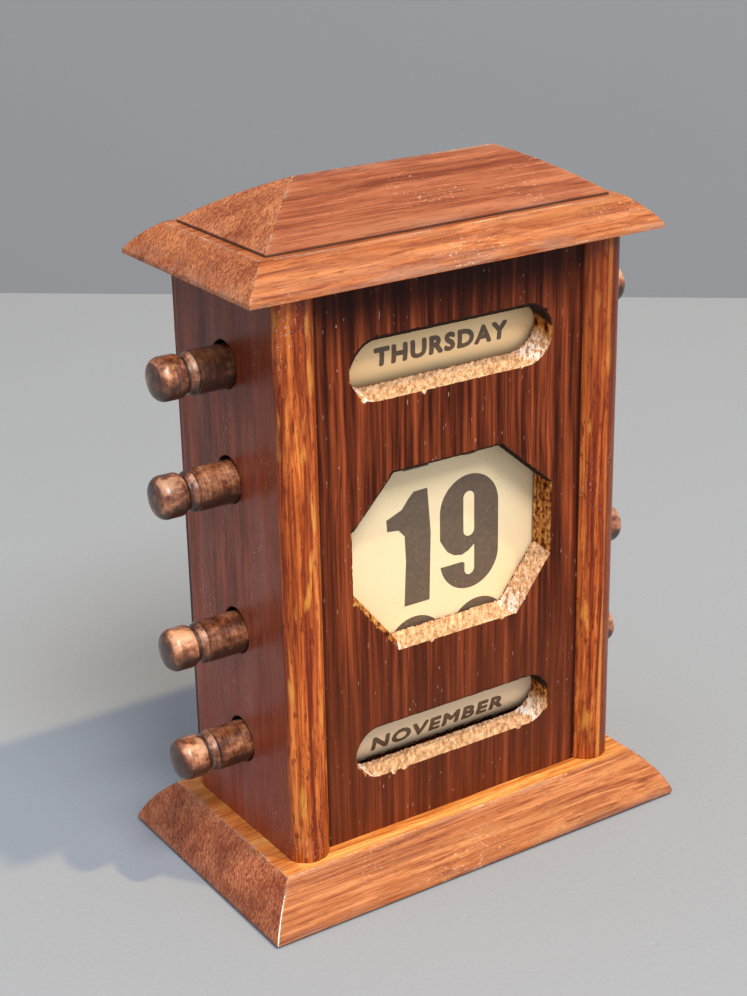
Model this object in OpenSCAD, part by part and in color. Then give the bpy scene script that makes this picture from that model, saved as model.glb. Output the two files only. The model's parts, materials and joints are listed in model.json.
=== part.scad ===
// Perpetual desk calendar: a small oak case with three windows.
// The weekday and the month are printed on paper round two wooden drums.
// The date is a long paper strip wound between two rollers.
// Frame: origin on the table under the middle of the base, front faces -Y, +Z up, millimetres.

/* [Base] */
// Width of the base board
base_w = 120; // [118:0.5:130]
// Depth of the base board
base_d = 70; // [66:0.5:80]
// Thickness of the base board
base_t = 11.4; // [9:0.2:14]
// How far the bevel runs in from the edge of the base board
base_bevel = 8.1; // [5:0.1:9]
// Thickness of the baize glued under the base
baize_t = 0.8; // [0.5:0.1:1.5]

/* [Body] */
// Width over the two side boards
body_w = 95; // [94:0.5:98]
// Thickness of a side board
side_t = 10.3; // [9.5:0.1:11]
// Depth of a side board, with its rounded nose
side_d = 47.1; // [45:0.1:50]
// Height of the side boards
side_h = 138.1; // [136:0.1:145]
// How far the rounded noses stand in front of the front panel
nose_d = 3.65; // [2.5:0.05:4.5]
// Thickness of the front panel
panel_t = 7; // [6:0.1:7.5]
// Depth of the grooves that hold the front panel
groove_d = 2.5; // [1.5:0.1:4]
// Thickness of the back panel
back_t = 5; // [3:0.1:6]
// How far the body stands behind the middle of the base
body_shift = 0.8; // [0:0.1:1.5]

/* [Top] */
// Width of the cornice board
cornice_w = 112.4; // [108:0.2:116]
// Depth of the cornice board
cornice_d = 57.8; // [56:0.2:62]
// Thickness of the cornice board
cornice_t = 7.5; // [6:0.1:10]
// How far the bevel runs in from the edge of the cornice board
cornice_bevel = 7.2; // [4:0.1:7.4]
// Width of the hipped cap
cap_w = 93.2; // [90:0.2:96]
// Depth of the hipped cap
cap_d = 39.5; // [36:0.1:42]
// Height of the hipped cap
cap_h = 11.2; // [8:0.1:14]
// Length of the ridge of the cap
ridge_w = 55; // [48:0.5:62]

/* [Windows] */
// Width of the weekday window
day_window_w = 56.4; // [50:0.2:58]
// Height of the weekday window
day_window_h = 14.8; // [12:0.1:15]
// Height above the table of the middle of the weekday window
day_window_z = 129.05; // [128:0.05:129.5]
// Width of the date window
date_window_w = 57.2; // [50:0.2:58]
// Height of the date window
date_window_h = 44.9; // [42:0.1:45]
// Height above the table of the middle of the date window
date_window_z = 81.35; // [80.5:0.05:81.7]
// Width and height of the upper left cut corner of the date window
corner_upper_left = [11.6, 12.3]; // [8:0.1:18]
// Width and height of the upper right cut corner
corner_upper_right = [15, 13]; // [8:0.1:18]
// Width and height of the lower right cut corner
corner_lower_right = [10.2, 13.3]; // [8:0.1:18]
// Width and height of the lower left cut corner
corner_lower_left = [12.4, 15.5]; // [8:0.1:18]
// Width of the month window
month_window_w = 57.6; // [50:0.2:58]
// Height of the month window
month_window_h = 13.4; // [11:0.1:14]
// Height above the table of the middle of the month window
month_window_z = 33.6; // [32.5:0.05:34]
// Angle at which the weekday window is sawn, rising to the back
day_saw_tilt = 11; // [0:0.5:12]
// Angle at which the date window is sawn, rising to the back
date_saw_tilt = 8; // [0:0.5:9]
// Angle at which the month window is sawn, rising to the back
month_saw_tilt = 1.5; // [0:0.5:9]

/* [Drums and rollers] */
// Height above the table of the weekday drum
day_z = 129.3; // [129:0.1:130]
// Height above the table of the upper date roller
upper_z = 101.8; // [101:0.1:102]
// Height above the table of the lower date roller
lower_z = 63.9; // [63.5:0.1:64.2]
// Height above the table of the month drum
month_z = 35; // [34.5:0.1:35.2]
// Radius of the weekday drum over its label
day_r = 13.7; // [13:0.05:13.8]
// Radius of the month drum over its label
month_r = 14.3; // [13:0.05:14.4]
// Radius of the date rollers without paper
roller_r = 12.4; // [11.5:0.05:12.6]
// Radius over the paper wound on the upper date roller
upper_roll_r = 13.4; // [13:0.05:13.4]
// Radius over the paper wound on the lower date roller
lower_roll_r = 13.25; // [13:0.05:13.4]
// Play between a drum's end and the side board
end_play = 0.5; // [0.3:0.05:1]

/* [Paper] */
// Width of the labels and of the date strip
paper_w = 64; // [60:0.5:70]
// Thickness of a label
label_t = 0.3; // [0.2:0.05:0.4]
// Thickness of the date strip
strip_t = 0.3; // [0.2:0.05:0.3]
// Height above the table of the lower end of the flat strip
strip_low_z = 50; // [50:0.1:51]
// Height above the table of the upper end of the flat strip
strip_high_z = 112.8; // [112:0.1:113]

/* [Knobs] */
// Radius of a knob's shank
shank_r = 5.05; // [4.5:0.05:5.2]
// Radius of the hole that a shank turns in
shank_hole_r = 5.5; // [5.45:0.05:5.8]
// Radius of the bulb at a knob's end
bulb_r = 5.1; // [4.8:0.05:6]
// Radius of the narrow neck behind the bulb
neck_r = 4.1; // [3:0.05:4.3]
// How far a knob stands out from the side board
knob_out = 18.1; // [17:0.1:20]
// Radius of the tenon that is glued into the drum
tenon_r = 3.5; // [2.5:0.1:4.2]
// Length of the tenon
tenon_l = 10; // [6:0.5:14]

/* [Hidden] */
$fn = 64;

// Levels of the case
base_z = baize_t;
body_z = base_z + base_t;
cornice_z = body_z + side_h;
cap_z = cornice_z + cornice_t;

// Depths of the case
nose_y = body_shift - (side_d + back_t) / 2;
panel_y = nose_y + nose_d;
panel_back_y = panel_y + panel_t;
back_y = nose_y + side_d;
inner_x = body_w / 2 - side_t;
side_mid_x = body_w / 2 - side_t / 2;

// The drums and rollers lie in one plane, the month drum just clear of the front panel
panel_clear = 0.3;
axis_y = panel_back_y + panel_clear + month_r;
drum_l = 2 * (inner_x - end_play);
strip_clear = 0.15;
strip_y = axis_y - upper_roll_r - strip_clear - strip_t;

// Each shank lies at the bottom of its hole, with running play under it
shank_play = 0.05;
hole_rise = shank_hole_r - shank_r - shank_play;

// The upper date roller has a plain pivot in place of a right-hand knob
pivot_r = 3;
pivot_hole_r = pivot_r + shank_play;
pivot_reach = 6;
pivot_hole_depth = 7;
pivot_seat = 10;

// How much farther out than knob_out each knob is glued: left side, then right side
day_set = [-0.05, 0.1];
upper_set = 1.35;
lower_set = [1.1, 1.35];
month_set = [0, 0];

// Wood screws
screw_head_r = 2.9;
screw_head_h = 1.8;
screw_r = 1.5;
screw_tip_l = 3;
screw_fit = 0.03;
base_screw_l = 25;
cornice_screw_l = 22;
back_screw_l = 16;
screw_slot_w = 0.7;
screw_slot_d = 0.8;

// Places of the screws along each side board
base_screw_ys = [-14, 16];
cornice_screw_ys = [-12, 14];
back_screw_zs = [31, 81, 131];
back_margin = 2;

oak = "#8a4a22";
dark_oak = "#5a2c18";
light_oak = "#b06a30";
knob_brown = "#4a2a1a";
paper = "#ead9b4";
brass = "#b89a4a";
baize = "#2f4a38";

// Half of a moulded edge: upright for `lip`, then an arc that bulges out over the bevel
module moulded_half(half_w, t, run, lip, bulge) {
    chord = norm([run, t - lip]);
    arc_r = (chord * chord / 4 + bulge * bulge) / (2 * bulge);
    out = [t - lip, run] / chord;
    mid = [half_w - run / 2, (t + lip) / 2];
    if (half_w > run) square([half_w - run, t]);
    intersection() {
        square([half_w, t]);
        translate(mid - out * (arc_r - bulge)) circle(r = arc_r, $fn = 180);
    }
}

// Cross-section of a board with the same moulded edge left and right
module moulded_section(w, t, run, lip, bulge) {
    moulded_half(w / 2, t, run, lip, bulge);
    mirror([1, 0]) moulded_half(w / 2, t, run, lip, bulge);
}

// Board moulded on all four edges, mitred at its corners
module moulded_board(w, d, t, run_x, run_y, lip, bulge) {
    intersection() {
        rotate([90, 0, 0]) linear_extrude(d, center = true)
            moulded_section(w, t, run_x, lip, bulge);
        rotate([90, 0, 90]) linear_extrude(w, center = true)
            moulded_section(d, t, run_y, lip, bulge);
    }
}

// Countersunk wood screw: head's flat face at the origin, pointing along -Z
module screw_body(l, play = 0) {
    mirror([0, 0, 1]) rotate_extrude() polygon([
        [0, 0], [screw_head_r + play, 0], [screw_r + play, screw_head_h],
        [screw_r + play, l - screw_tip_l], [0, l + play]]);
}

module wood_screw(l) {
    difference() {
        screw_body(l);
        cube([3 * screw_head_r, screw_slot_w, 2 * screw_slot_d], center = true);
    }
}

module at_base_screws() {
    for (side = [-1, 1], y = base_screw_ys)
        translate([side * side_mid_x, y, base_z]) mirror([0, 0, 1]) children();
}

module at_cornice_screws() {
    for (side = [-1, 1], y = cornice_screw_ys)
        translate([side * side_mid_x, y, cap_z]) rotate([0, 0, 30]) children();
}

module at_back_screws() {
    for (side = [-1, 1], z = back_screw_zs)
        translate([side * side_mid_x, back_y + back_t, z]) rotate([-90, 0, 0])
            rotate([0, 0, side * z]) children();
}

module base_board() {
    color(oak) difference() {
        translate([0, 0, base_z])
            moulded_board(base_w, base_d, base_t, base_bevel, base_bevel, 0.6, 0.9);
        at_base_screws() screw_body(base_screw_l, screw_fit);
    }
}

module baize_pad() {
    margin = 1.5;
    color(baize) translate([0, 0, baize_t / 2])
        cube([base_w - 2 * margin, base_d - 2 * margin, baize_t], center = true);
}

// Plan of the right-hand side board: bull nose in front, square at the back
module side_plan() {
    nose_r = (side_t * side_t / 4 + nose_d * nose_d) / (2 * nose_d);
    translate([inner_x, panel_y]) square([side_t, back_y - panel_y]);
    intersection() {
        translate([inner_x, nose_y]) square([side_t, side_t]);
        translate([side_mid_x, nose_y + nose_r]) circle(r = nose_r, $fn = 96);
    }
}

// Side board with the groove for the front panel and the pilot holes of its screws
module grooved_side() {
    difference() {
        translate([0, 0, body_z]) linear_extrude(side_h) side_plan();
        translate([inner_x - 1, panel_y, body_z - 1])
            cube([groove_d + 1, panel_t, side_h + 2]);
        at_base_screws() screw_body(base_screw_l, screw_fit);
        at_cornice_screws() screw_body(cornice_screw_l, screw_fit);
        at_back_screws() screw_body(back_screw_l, screw_fit);
    }
}

// Hole through the right-hand side board for the knob at height z
module shank_hole(z) {
    translate([inner_x - 1, axis_y, z + hole_rise]) rotate([0, 90, 0])
        cylinder(r = shank_hole_r, h = side_t + 2);
}

module side_board_left() {
    color(dark_oak) mirror([1, 0, 0]) difference() {
        grooved_side();
        for (z = [day_z, upper_z, lower_z, month_z]) shank_hole(z);
    }
}

module side_board_right() {
    color(dark_oak) difference() {
        grooved_side();
        for (z = [day_z, lower_z, month_z]) shank_hole(z);
        translate([inner_x - 1, axis_y, upper_z]) rotate([0, 90, 0])
            cylinder(r = pivot_hole_r, h = pivot_hole_depth + 1);
    }
}

// Window outlines, drawn about their own middle
module slot_outline(w, h) {
    square([w - h, h], center = true);
    for (side = [-1, 1]) translate([side * (w - h) / 2, 0]) circle(d = h);
}

// Rectangle less a cut corner of its own width and height at each corner
module octagon_outline(w, h, upper_left, upper_right, lower_right, lower_left) {
    difference() {
        square([w, h], center = true);
        for (c = [[-1, 1, upper_left], [1, 1, upper_right],
                  [1, -1, lower_right], [-1, -1, lower_left]])
            translate([c[0] * w / 2, c[1] * h / 2]) polygon([
                [0, 0], [-c[0] * c[2][0], 0], [0, -c[1] * c[2][1]]]);
    }
}

// Window sawn through the panel at height z, with its edges rising to the back by tilt
module window_cut(z, tilt) {
    translate([0, panel_y, z]) rotate([90 + tilt, 0, 0])
        linear_extrude(4 * panel_t, center = true) children();
}

module front_panel() {
    panel_w = 2 * (inner_x + groove_d);
    color(dark_oak) difference() {
        translate([-panel_w / 2, panel_y, body_z]) cube([panel_w, panel_t, side_h]);
        window_cut(day_window_z, day_saw_tilt) slot_outline(day_window_w, day_window_h);
        window_cut(month_window_z, month_saw_tilt) slot_outline(month_window_w, month_window_h);
        window_cut(date_window_z, date_saw_tilt)
            octagon_outline(date_window_w, date_window_h, corner_upper_left,
                corner_upper_right, corner_lower_right, corner_lower_left);
    }
}

module back_panel() {
    back_w = body_w - 2 * back_margin;
    color(oak) difference() {
        translate([-back_w / 2, back_y, body_z]) cube([back_w, back_t, side_h]);
        at_back_screws() screw_body(back_screw_l, screw_fit);
    }
}

module cornice_board() {
    color(oak) difference() {
        translate([0, body_shift, cornice_z]) moulded_board(
            cornice_w, cornice_d, cornice_t, cornice_bevel, cornice_bevel, 0.9, 0.5);
        at_cornice_screws() screw_body(cornice_screw_l, screw_fit);
    }
}

// Hipped cap with slightly rounded slopes that meet in a level ridge
module hipped_cap() {
    color(light_oak) translate([0, body_shift, cap_z])
        moulded_board(cap_w, cap_d, cap_h, (cap_w - ridge_w) / 2, cap_d / 2, 0.7, 0.7);
}

module base_screws() { color(brass) at_base_screws() wood_screw(base_screw_l); }
module cornice_screws() { color(brass) at_cornice_screws() wood_screw(cornice_screw_l); }
module back_screws() { color(brass) at_back_screws() wood_screw(back_screw_l); }

// Wooden cylinder across the case at height z; seats lists [side, radius, depth] of its end bores
module drum(z, r, seats) {
    translate([0, axis_y, z]) rotate([0, 90, 0]) difference() {
        cylinder(r = r, h = drum_l, center = true, $fn = 96);
        for (s = seats)
            translate([0, 0, s[0] * (drum_l / 2 + 1)]) mirror([0, 0, s[0] > 0 ? 1 : 0])
                cylinder(r = s[1], h = s[2] + 1);
    }
}

// Paper round a drum or roller at height z
module sleeve(z, outer_r, inner_r) {
    translate([0, axis_y, z]) rotate([0, 90, 0]) difference() {
        cylinder(r = outer_r, h = paper_w, center = true, $fn = 96);
        cylinder(r = inner_r, h = paper_w + 2, center = true, $fn = 96);
    }
}

// Half section of the bulb: rounded back, straight side, round shoulder and low crown
module bulb_profile(start) {
    back_r = 1.7;
    shoulder_r = 2.4;
    shoulder_at = knob_out - 2.6;
    crown_r = 14;
    intersection() {
        union() {
            translate([0, start]) square([bulb_r - back_r, back_r]);
            translate([bulb_r - back_r, start + back_r]) circle(r = back_r, $fn = 48);
            translate([0, start + back_r]) square([bulb_r, shoulder_at - start - back_r]);
            translate([bulb_r - shoulder_r, shoulder_at]) circle(r = shoulder_r, $fn = 64);
            translate([0, shoulder_at]) square([bulb_r - shoulder_r, knob_out - shoulder_at]);
        }
        translate([0, knob_out - crown_r]) circle(r = crown_r, $fn = 180);
    }
}

// Half section of a turned knob: radius along X, distance out from the side board along Y.
// Everything outside the ring line stands `set` farther out
module knob_profile(set) {
    shoulder_at = -side_t - end_play;
    ring_at = 8.4;
    ring_depth = 0.35;
    collar_at = 8.7;
    collar_end = 9.8;
    collar_taper = 0.45;
    neck_at = 10.3;
    bulb_at = 10.8;
    translate([0, shoulder_at - tenon_l]) square([tenon_r, tenon_l]);
    translate([0, shoulder_at]) square([shank_r, ring_at + set - shoulder_at]);
    translate([0, set]) {
        translate([0, ring_at]) square([shank_r - ring_depth, collar_at - ring_at]);
        polygon([[0, collar_at], [shank_r, collar_at], [shank_r - collar_taper, collar_end],
            [neck_r, neck_at], [0, neck_at]]);
        translate([0, neck_at]) square([neck_r, bulb_at - neck_at]);
        bulb_profile(bulb_at);
    }
}

// Turned knob at height z, glued `set` farther out, on the right (side = 1) or left (side = -1)
module knob(z, side, set) {
    color(knob_brown) translate([side * body_w / 2, axis_y, z]) rotate([0, side * 90, 0])
        rotate_extrude($fn = 96) knob_profile(set);
}

// End bores for the tenons of a left-hand and a right-hand knob
knob_seats = [[-1, tenon_r, tenon_l], [1, tenon_r, tenon_l]];

module day_drum() { color(light_oak) drum(day_z, day_r - label_t, knob_seats); }
module day_label() { color(paper) sleeve(day_z, day_r, day_r - label_t); }
module day_knob_left() { knob(day_z, -1, day_set[0]); }
module day_knob_right() { knob(day_z, 1, day_set[1]); }

module date_upper_roller() {
    color(light_oak) drum(upper_z, roller_r, [knob_seats[0], [1, pivot_r, pivot_seat]]);
}
module date_upper_roll() { color(paper) sleeve(upper_z, upper_roll_r, roller_r); }
module date_upper_knob() { knob(upper_z, -1, upper_set); }
module date_upper_pivot() {
    color(light_oak) translate([drum_l / 2 - pivot_seat, axis_y, upper_z]) rotate([0, 90, 0])
        cylinder(r = pivot_r, h = pivot_seat + end_play + pivot_reach);
}

module date_lower_roller() { color(light_oak) drum(lower_z, roller_r, knob_seats); }
module date_lower_roll() { color(paper) sleeve(lower_z, lower_roll_r, roller_r); }
module date_lower_knob_left() { knob(lower_z, -1, lower_set[0]); }
module date_lower_knob_right() { knob(lower_z, 1, lower_set[1]); }

// Flat run of the date strip between the two rollers
module date_strip() {
    color(paper) translate([-paper_w / 2, strip_y, strip_low_z])
        cube([paper_w, strip_t, strip_high_z - strip_low_z]);
}

module month_drum() { color(light_oak) drum(month_z, month_r - label_t, knob_seats); }
module month_label() { color(paper) sleeve(month_z, month_r, month_r - label_t); }
module month_knob_left() { knob(month_z, -1, month_set[0]); }
module month_knob_right() { knob(month_z, 1, month_set[1]); }

base_board();
baize_pad();
side_board_left();
side_board_right();
front_panel();
back_panel();
cornice_board();
hipped_cap();
base_screws();
cornice_screws();
back_screws();
day_drum();
day_label();
day_knob_left();
day_knob_right();
date_upper_roller();
date_upper_roll();
date_upper_knob();
date_upper_pivot();
date_lower_roller();
date_lower_roll();
date_lower_knob_left();
date_lower_knob_right();
date_strip();
month_drum();
month_label();
month_knob_left();
month_knob_right();
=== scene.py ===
import json
import math

import bmesh
import bpy
from mathutils import Matrix, Vector, noise
from mathutils.bvhtree import BVHTree
from mathutils.geometry import delaunay_2d_cdt


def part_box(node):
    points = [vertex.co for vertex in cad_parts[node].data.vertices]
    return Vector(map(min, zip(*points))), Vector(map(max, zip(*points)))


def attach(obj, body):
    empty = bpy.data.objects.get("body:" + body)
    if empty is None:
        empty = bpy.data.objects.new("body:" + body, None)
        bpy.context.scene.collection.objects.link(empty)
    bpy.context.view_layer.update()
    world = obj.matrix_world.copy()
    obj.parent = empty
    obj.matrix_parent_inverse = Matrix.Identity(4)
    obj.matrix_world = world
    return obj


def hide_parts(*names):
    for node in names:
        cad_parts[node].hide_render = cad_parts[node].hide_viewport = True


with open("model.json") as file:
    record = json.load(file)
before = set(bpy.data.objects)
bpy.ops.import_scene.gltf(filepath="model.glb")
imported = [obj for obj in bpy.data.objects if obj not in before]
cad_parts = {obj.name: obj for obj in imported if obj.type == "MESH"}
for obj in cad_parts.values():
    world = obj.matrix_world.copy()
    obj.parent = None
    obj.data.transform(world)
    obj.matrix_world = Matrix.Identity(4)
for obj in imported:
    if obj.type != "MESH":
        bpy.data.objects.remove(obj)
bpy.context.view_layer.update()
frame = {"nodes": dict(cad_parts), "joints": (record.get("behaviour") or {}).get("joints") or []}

bl_info = {
    "name": "Perpetual Desk Calendar",
    "version": (1, 0, 0),
    "blender": (4, 5, 0),
    "location": "View3D > Sidebar > Calendar",
    "description": "Finishes the oak desk calendar: worn boards, sawn windows, knobs, paper, print",
    "category": "Object",
}

MM = 0.001

# Levels and depths that the frame gives, in metres
BASE_LOW, BASE_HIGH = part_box("base_board")
CORNICE_LOW, CORNICE_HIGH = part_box("cornice_board")
CAP_LOW, CAP_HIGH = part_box("hipped_cap")
SIDE_LOW, SIDE_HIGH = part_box("side_board_right")
PANEL_LOW, PANEL_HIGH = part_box("front_panel")
BACK_LOW, BACK_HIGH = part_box("back_panel")
STRIP_LOW, STRIP_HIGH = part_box("date_strip")
PIVOTS = {joint["name"]: Vector(joint["pos_m"]) for joint in frame["joints"] if "pos_m" in joint}


# ---------------------------------------------------------------- sizes and colours


class CalendarShape(bpy.types.PropertyGroup):
    base_bevel: bpy.props.FloatProperty(
        name="Base bevel", description="How far the base's bevel runs in from its edge",
        default=8.1 * MM, unit="LENGTH")
    cornice_bevel: bpy.props.FloatProperty(
        name="Cornice bevel", description="How far the cornice's bevel runs in from its edge",
        default=7.2 * MM, unit="LENGTH")
    cap_ridge: bpy.props.FloatProperty(
        name="Cap ridge", description="Length of the level ridge of the hipped cap",
        default=55 * MM, unit="LENGTH")
    mitre_round: bpy.props.FloatProperty(
        name="Mitre rounding", description="Radius worn on the upright corners of the moulded boards",
        default=0.45 * MM, unit="LENGTH")
    arris_round: bpy.props.FloatProperty(
        name="Arris rounding", description="Radius worn on the long edges of the side boards",
        default=0.35 * MM, unit="LENGTH")
    nose_depth: bpy.props.FloatProperty(
        name="Nose depth", description="How far the bull nose stands in front of the panel",
        default=3.65 * MM, unit="LENGTH")
    saw_rough: bpy.props.FloatProperty(
        name="Saw roughness", description="How far the sawn window edges stray from a clean cut",
        default=0.09 * MM, unit="LENGTH")
    chip_depth: bpy.props.FloatProperty(
        name="Chip depth", description="How far stained wood has broken away round the windows",
        default=0.45 * MM, unit="LENGTH")
    hole_radius: bpy.props.FloatProperty(
        name="Knob hole radius", description="Radius of the holes that the knob shanks turn in",
        default=5.5 * MM, unit="LENGTH")
    hole_rise: bpy.props.FloatProperty(
        name="Knob hole rise", description="How far each hole's middle lies above its shank's",
        default=0.4 * MM, unit="LENGTH")
    shank_radius: bpy.props.FloatProperty(
        name="Shank radius", description="Radius of a knob's shank",
        default=5.05 * MM, unit="LENGTH")
    neck_radius: bpy.props.FloatProperty(
        name="Neck radius", description="Radius of a knob's neck",
        default=4.1 * MM, unit="LENGTH")
    bulb_radius: bpy.props.FloatProperty(
        name="Bulb radius", description="Radius of a knob's bulb",
        default=5.1 * MM, unit="LENGTH")
    knob_reach: bpy.props.FloatProperty(
        name="Knob reach", description="How far a fully seated knob stands out of the side board",
        default=18.1 * MM, unit="LENGTH")


class CalendarColours(bpy.types.PropertyGroup):
    cap_stain: bpy.props.FloatVectorProperty(
        name="Cap stain", description="Stain of the hipped cap", size=3,
        default=(0.271, 0.0675, 0.0232), min=0, max=1, subtype="COLOR")
    cornice_stain: bpy.props.FloatVectorProperty(
        name="Cornice stain", description="Stain of the cornice board", size=3,
        default=(0.364, 0.099, 0.0255), min=0, max=1, subtype="COLOR")
    base_stain: bpy.props.FloatVectorProperty(
        name="Base stain", description="Stain of the base board", size=3,
        default=(0.38, 0.11, 0.0287), min=0, max=1, subtype="COLOR")
    panel_stain: bpy.props.FloatVectorProperty(
        name="Panel stain", description="Stain of the front panel", size=3,
        default=(0.124, 0.0222, 0.0058), min=0, max=1, subtype="COLOR")
    nose_stain: bpy.props.FloatVectorProperty(
        name="Nose stain", description="Stain of the bull-nosed fronts of the side boards", size=3,
        default=(0.41, 0.079, 0.0102), min=0, max=1, subtype="COLOR")
    flank_stain: bpy.props.FloatVectorProperty(
        name="Flank stain", description="Stain of the flat flanks of the side boards", size=3,
        default=(0.182, 0.028, 0.0085), min=0, max=1, subtype="COLOR")
    raw_wood: bpy.props.FloatVectorProperty(
        name="Raw wood", description="Colour of sawn wood that took no stain", size=3,
        default=(0.65, 0.38, 0.205), min=0, max=1, subtype="COLOR")
    knob_stain: bpy.props.FloatVectorProperty(
        name="Knob stain", description="Colour of the polished knobs", size=3,
        default=(0.29, 0.092, 0.034), min=0, max=1, subtype="COLOR")
    paper: bpy.props.FloatVectorProperty(
        name="Paper", description="Colour of the aged date paper", size=3,
        default=(0.9, 0.71, 0.43), min=0, max=1, subtype="COLOR")
    # Painted light: the weekday and month label colours are the date paper's colour made lighter and warmer
    # for the weekday and greyer for the month, to stand in for the light inside their recessed windows, not
    # a browner or greyer paper.
    weekday_paper_painted_light: bpy.props.FloatVectorProperty(
        name="Weekday label", description="Colour of the browner paper round the weekday drum", size=3,
        default=(0.98, 0.72, 0.39), min=0, max=1, subtype="COLOR")
    month_label: bpy.props.FloatVectorProperty(
        name="Month label", description="Colour of the greyer paper round the month drum", size=3,
        default=(0.87, 0.69, 0.47), min=0, max=1, subtype="COLOR")
    ink: bpy.props.FloatVectorProperty(
        name="Ink", description="Colour of the faded ink", size=3,
        default=(0.092, 0.062, 0.039), min=0, max=1, subtype="COLOR")
    baize: bpy.props.FloatVectorProperty(
        name="Baize", description="Colour of the baize under the base", size=3,
        default=(0.03, 0.075, 0.045), min=0, max=1, subtype="COLOR")


class CalendarPrint(bpy.types.PropertyGroup):
    weekday: bpy.props.IntProperty(
        name="Weekday", description="Which day of the week shows, counted from 0 for Monday",
        default=3, min=0, max=6)
    month: bpy.props.IntProperty(
        name="Month", description="Which month shows, counted from 0 for January",
        default=10, min=0, max=11)
    weekday_cap: bpy.props.FloatProperty(
        name="Weekday letters", description="Height of the weekday's capital letters",
        default=4.7 * MM, unit="LENGTH")
    month_cap: bpy.props.FloatProperty(
        name="Month letters", description="Height of the month's capital letters",
        default=4.6 * MM, unit="LENGTH")
    boldness: bpy.props.FloatProperty(
        name="Boldness", description="How far the letters' outlines stand out from the thin type",
        default=0.33 * MM, unit="LENGTH")
    digit_height: bpy.props.FloatProperty(
        name="Numeral height", description="Height of the date's numerals",
        default=29.6 * MM, unit="LENGTH")
    digit_foot: bpy.props.FloatProperty(
        name="Numeral foot", description="Height above the table of the foot of the date's numerals",
        default=65.0 * MM, unit="LENGTH")


class CalendarStage(bpy.types.PropertyGroup):
    floor: bpy.props.FloatVectorProperty(
        name="Floor", description="Colour of the pale floor", size=3,
        default=(0.312, 0.331, 0.364), min=0, max=1, subtype="COLOR")
    wall: bpy.props.FloatVectorProperty(
        name="Wall", description="Colour of the grey wall", size=3,
        default=(0.25, 0.258, 0.268), min=0, max=1, subtype="COLOR")
    sky: bpy.props.FloatProperty(
        name="Room light", description="Strength of the even light of the room",
        default=0.9, min=0)
    sky_tint: bpy.props.FloatVectorProperty(
        name="Room tint", description="Colour of the even light of the room", size=3,
        default=(0.84, 0.9, 1.0), min=0, max=1, subtype="COLOR")
    key: bpy.props.FloatProperty(
        name="Key light", description="Power of the small warm light high at the right in front, in watts",
        default=127.0, min=0)
    key_tint: bpy.props.FloatVectorProperty(
        name="Key tint", description="Colour of the key light", size=3,
        default=(1.0, 0.745, 0.368), min=0, max=1, subtype="COLOR")
    front: bpy.props.FloatProperty(
        name="Front light", description="Power of the soft light above the front, in watts",
        default=51.0, min=0)


class CalendarSettings(bpy.types.PropertyGroup):
    shape: bpy.props.PointerProperty(type=CalendarShape)
    colours: bpy.props.PointerProperty(type=CalendarColours)
    print: bpy.props.PointerProperty(type=CalendarPrint)
    stage: bpy.props.PointerProperty(type=CalendarStage)


# ---------------------------------------------------------------- values in node trees


class Wire:
    """A node's output. Arithmetic with it adds Math nodes to its tree."""

    def __init__(self, tree, socket):
        self.tree = tree
        self.socket = socket

    def math(self, operation, *others, clamp=False):
        """This value and the others put through a Math node."""
        sockets = dict(enumerate((self, *others)))
        return wired(self.tree, "ShaderNodeMath", sockets, operation=operation, use_clamp=clamp)

    def spread(self, low, high, to_low=0.0, to_high=1.0, smooth=False):
        """The value with low..high taken to to_low..to_high."""
        sockets = {0: self, 1: low, 2: high, 3: to_low, 4: to_high}
        kind = "SMOOTHSTEP" if smooth else "LINEAR"
        return wired(self.tree, "ShaderNodeMapRange", sockets, interpolation_type=kind)

    def __add__(self, other):
        return self.math("ADD", other)

    def __sub__(self, other):
        return self.math("SUBTRACT", other)

    def __rsub__(self, other):
        return wired(self.tree, "ShaderNodeMath", {0: other, 1: self}, operation="SUBTRACT")

    def __mul__(self, other):
        return self.math("MULTIPLY", other)

    def __truediv__(self, other):
        return self.math("DIVIDE", other)

    def __rtruediv__(self, other):
        return wired(self.tree, "ShaderNodeMath", {0: other, 1: self}, operation="DIVIDE")

    def __gt__(self, other):
        return self.math("GREATER_THAN", other)

    def __lt__(self, other):
        return self.math("LESS_THAN", other)

    def __abs__(self):
        return self.math("ABSOLUTE")

    __radd__ = __add__
    __rmul__ = __mul__


def feed(socket, value):
    """Links a wire to an input, or sets the input to a plain value."""
    if isinstance(value, Wire):
        value.tree.links.new(value.socket, socket)
    else:
        socket.default_value = value


def add(tree, kind, sockets=None, **settings):
    """Adds a node, with settings as its properties and sockets as its inputs' wires or values."""
    made = tree.nodes.new(kind)
    for name, value in settings.items():
        setattr(made, name, value)
    for key, value in (sockets or {}).items():
        feed(made.inputs[key], value)
    return made


def wired(tree, kind, sockets=None, output=0, **settings):
    """Adds a node and returns one of its outputs as a wire."""
    return Wire(tree, add(tree, kind, sockets, **settings).outputs[output])


def split(vector):
    """X, Y and Z of a vector."""
    made = add(vector.tree, "ShaderNodeSeparateXYZ", {0: vector})
    return [Wire(vector.tree, socket) for socket in made.outputs]


def new_group(name, kind, inputs, outputs):
    """A node group whose inputs are numbers or kinds of socket: (tree, its inputs' wires, its last node)."""
    tree = bpy.data.node_groups.new(name, kind)
    for key, value in inputs.items():
        number = {float: "Float", int: "Int"}.get(type(value))
        socket = tree.interface.new_socket(key, in_out="INPUT", socket_type="NodeSocket" + (number or value))
        if number:
            socket.default_value = value
    for key, value in outputs.items():
        tree.interface.new_socket(key, in_out="OUTPUT", socket_type="NodeSocket" + value)
    given = tree.nodes.new("NodeGroupInput").outputs
    return tree, {socket.name: Wire(tree, socket) for socket in given}, tree.nodes.new("NodeGroupOutput")


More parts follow.
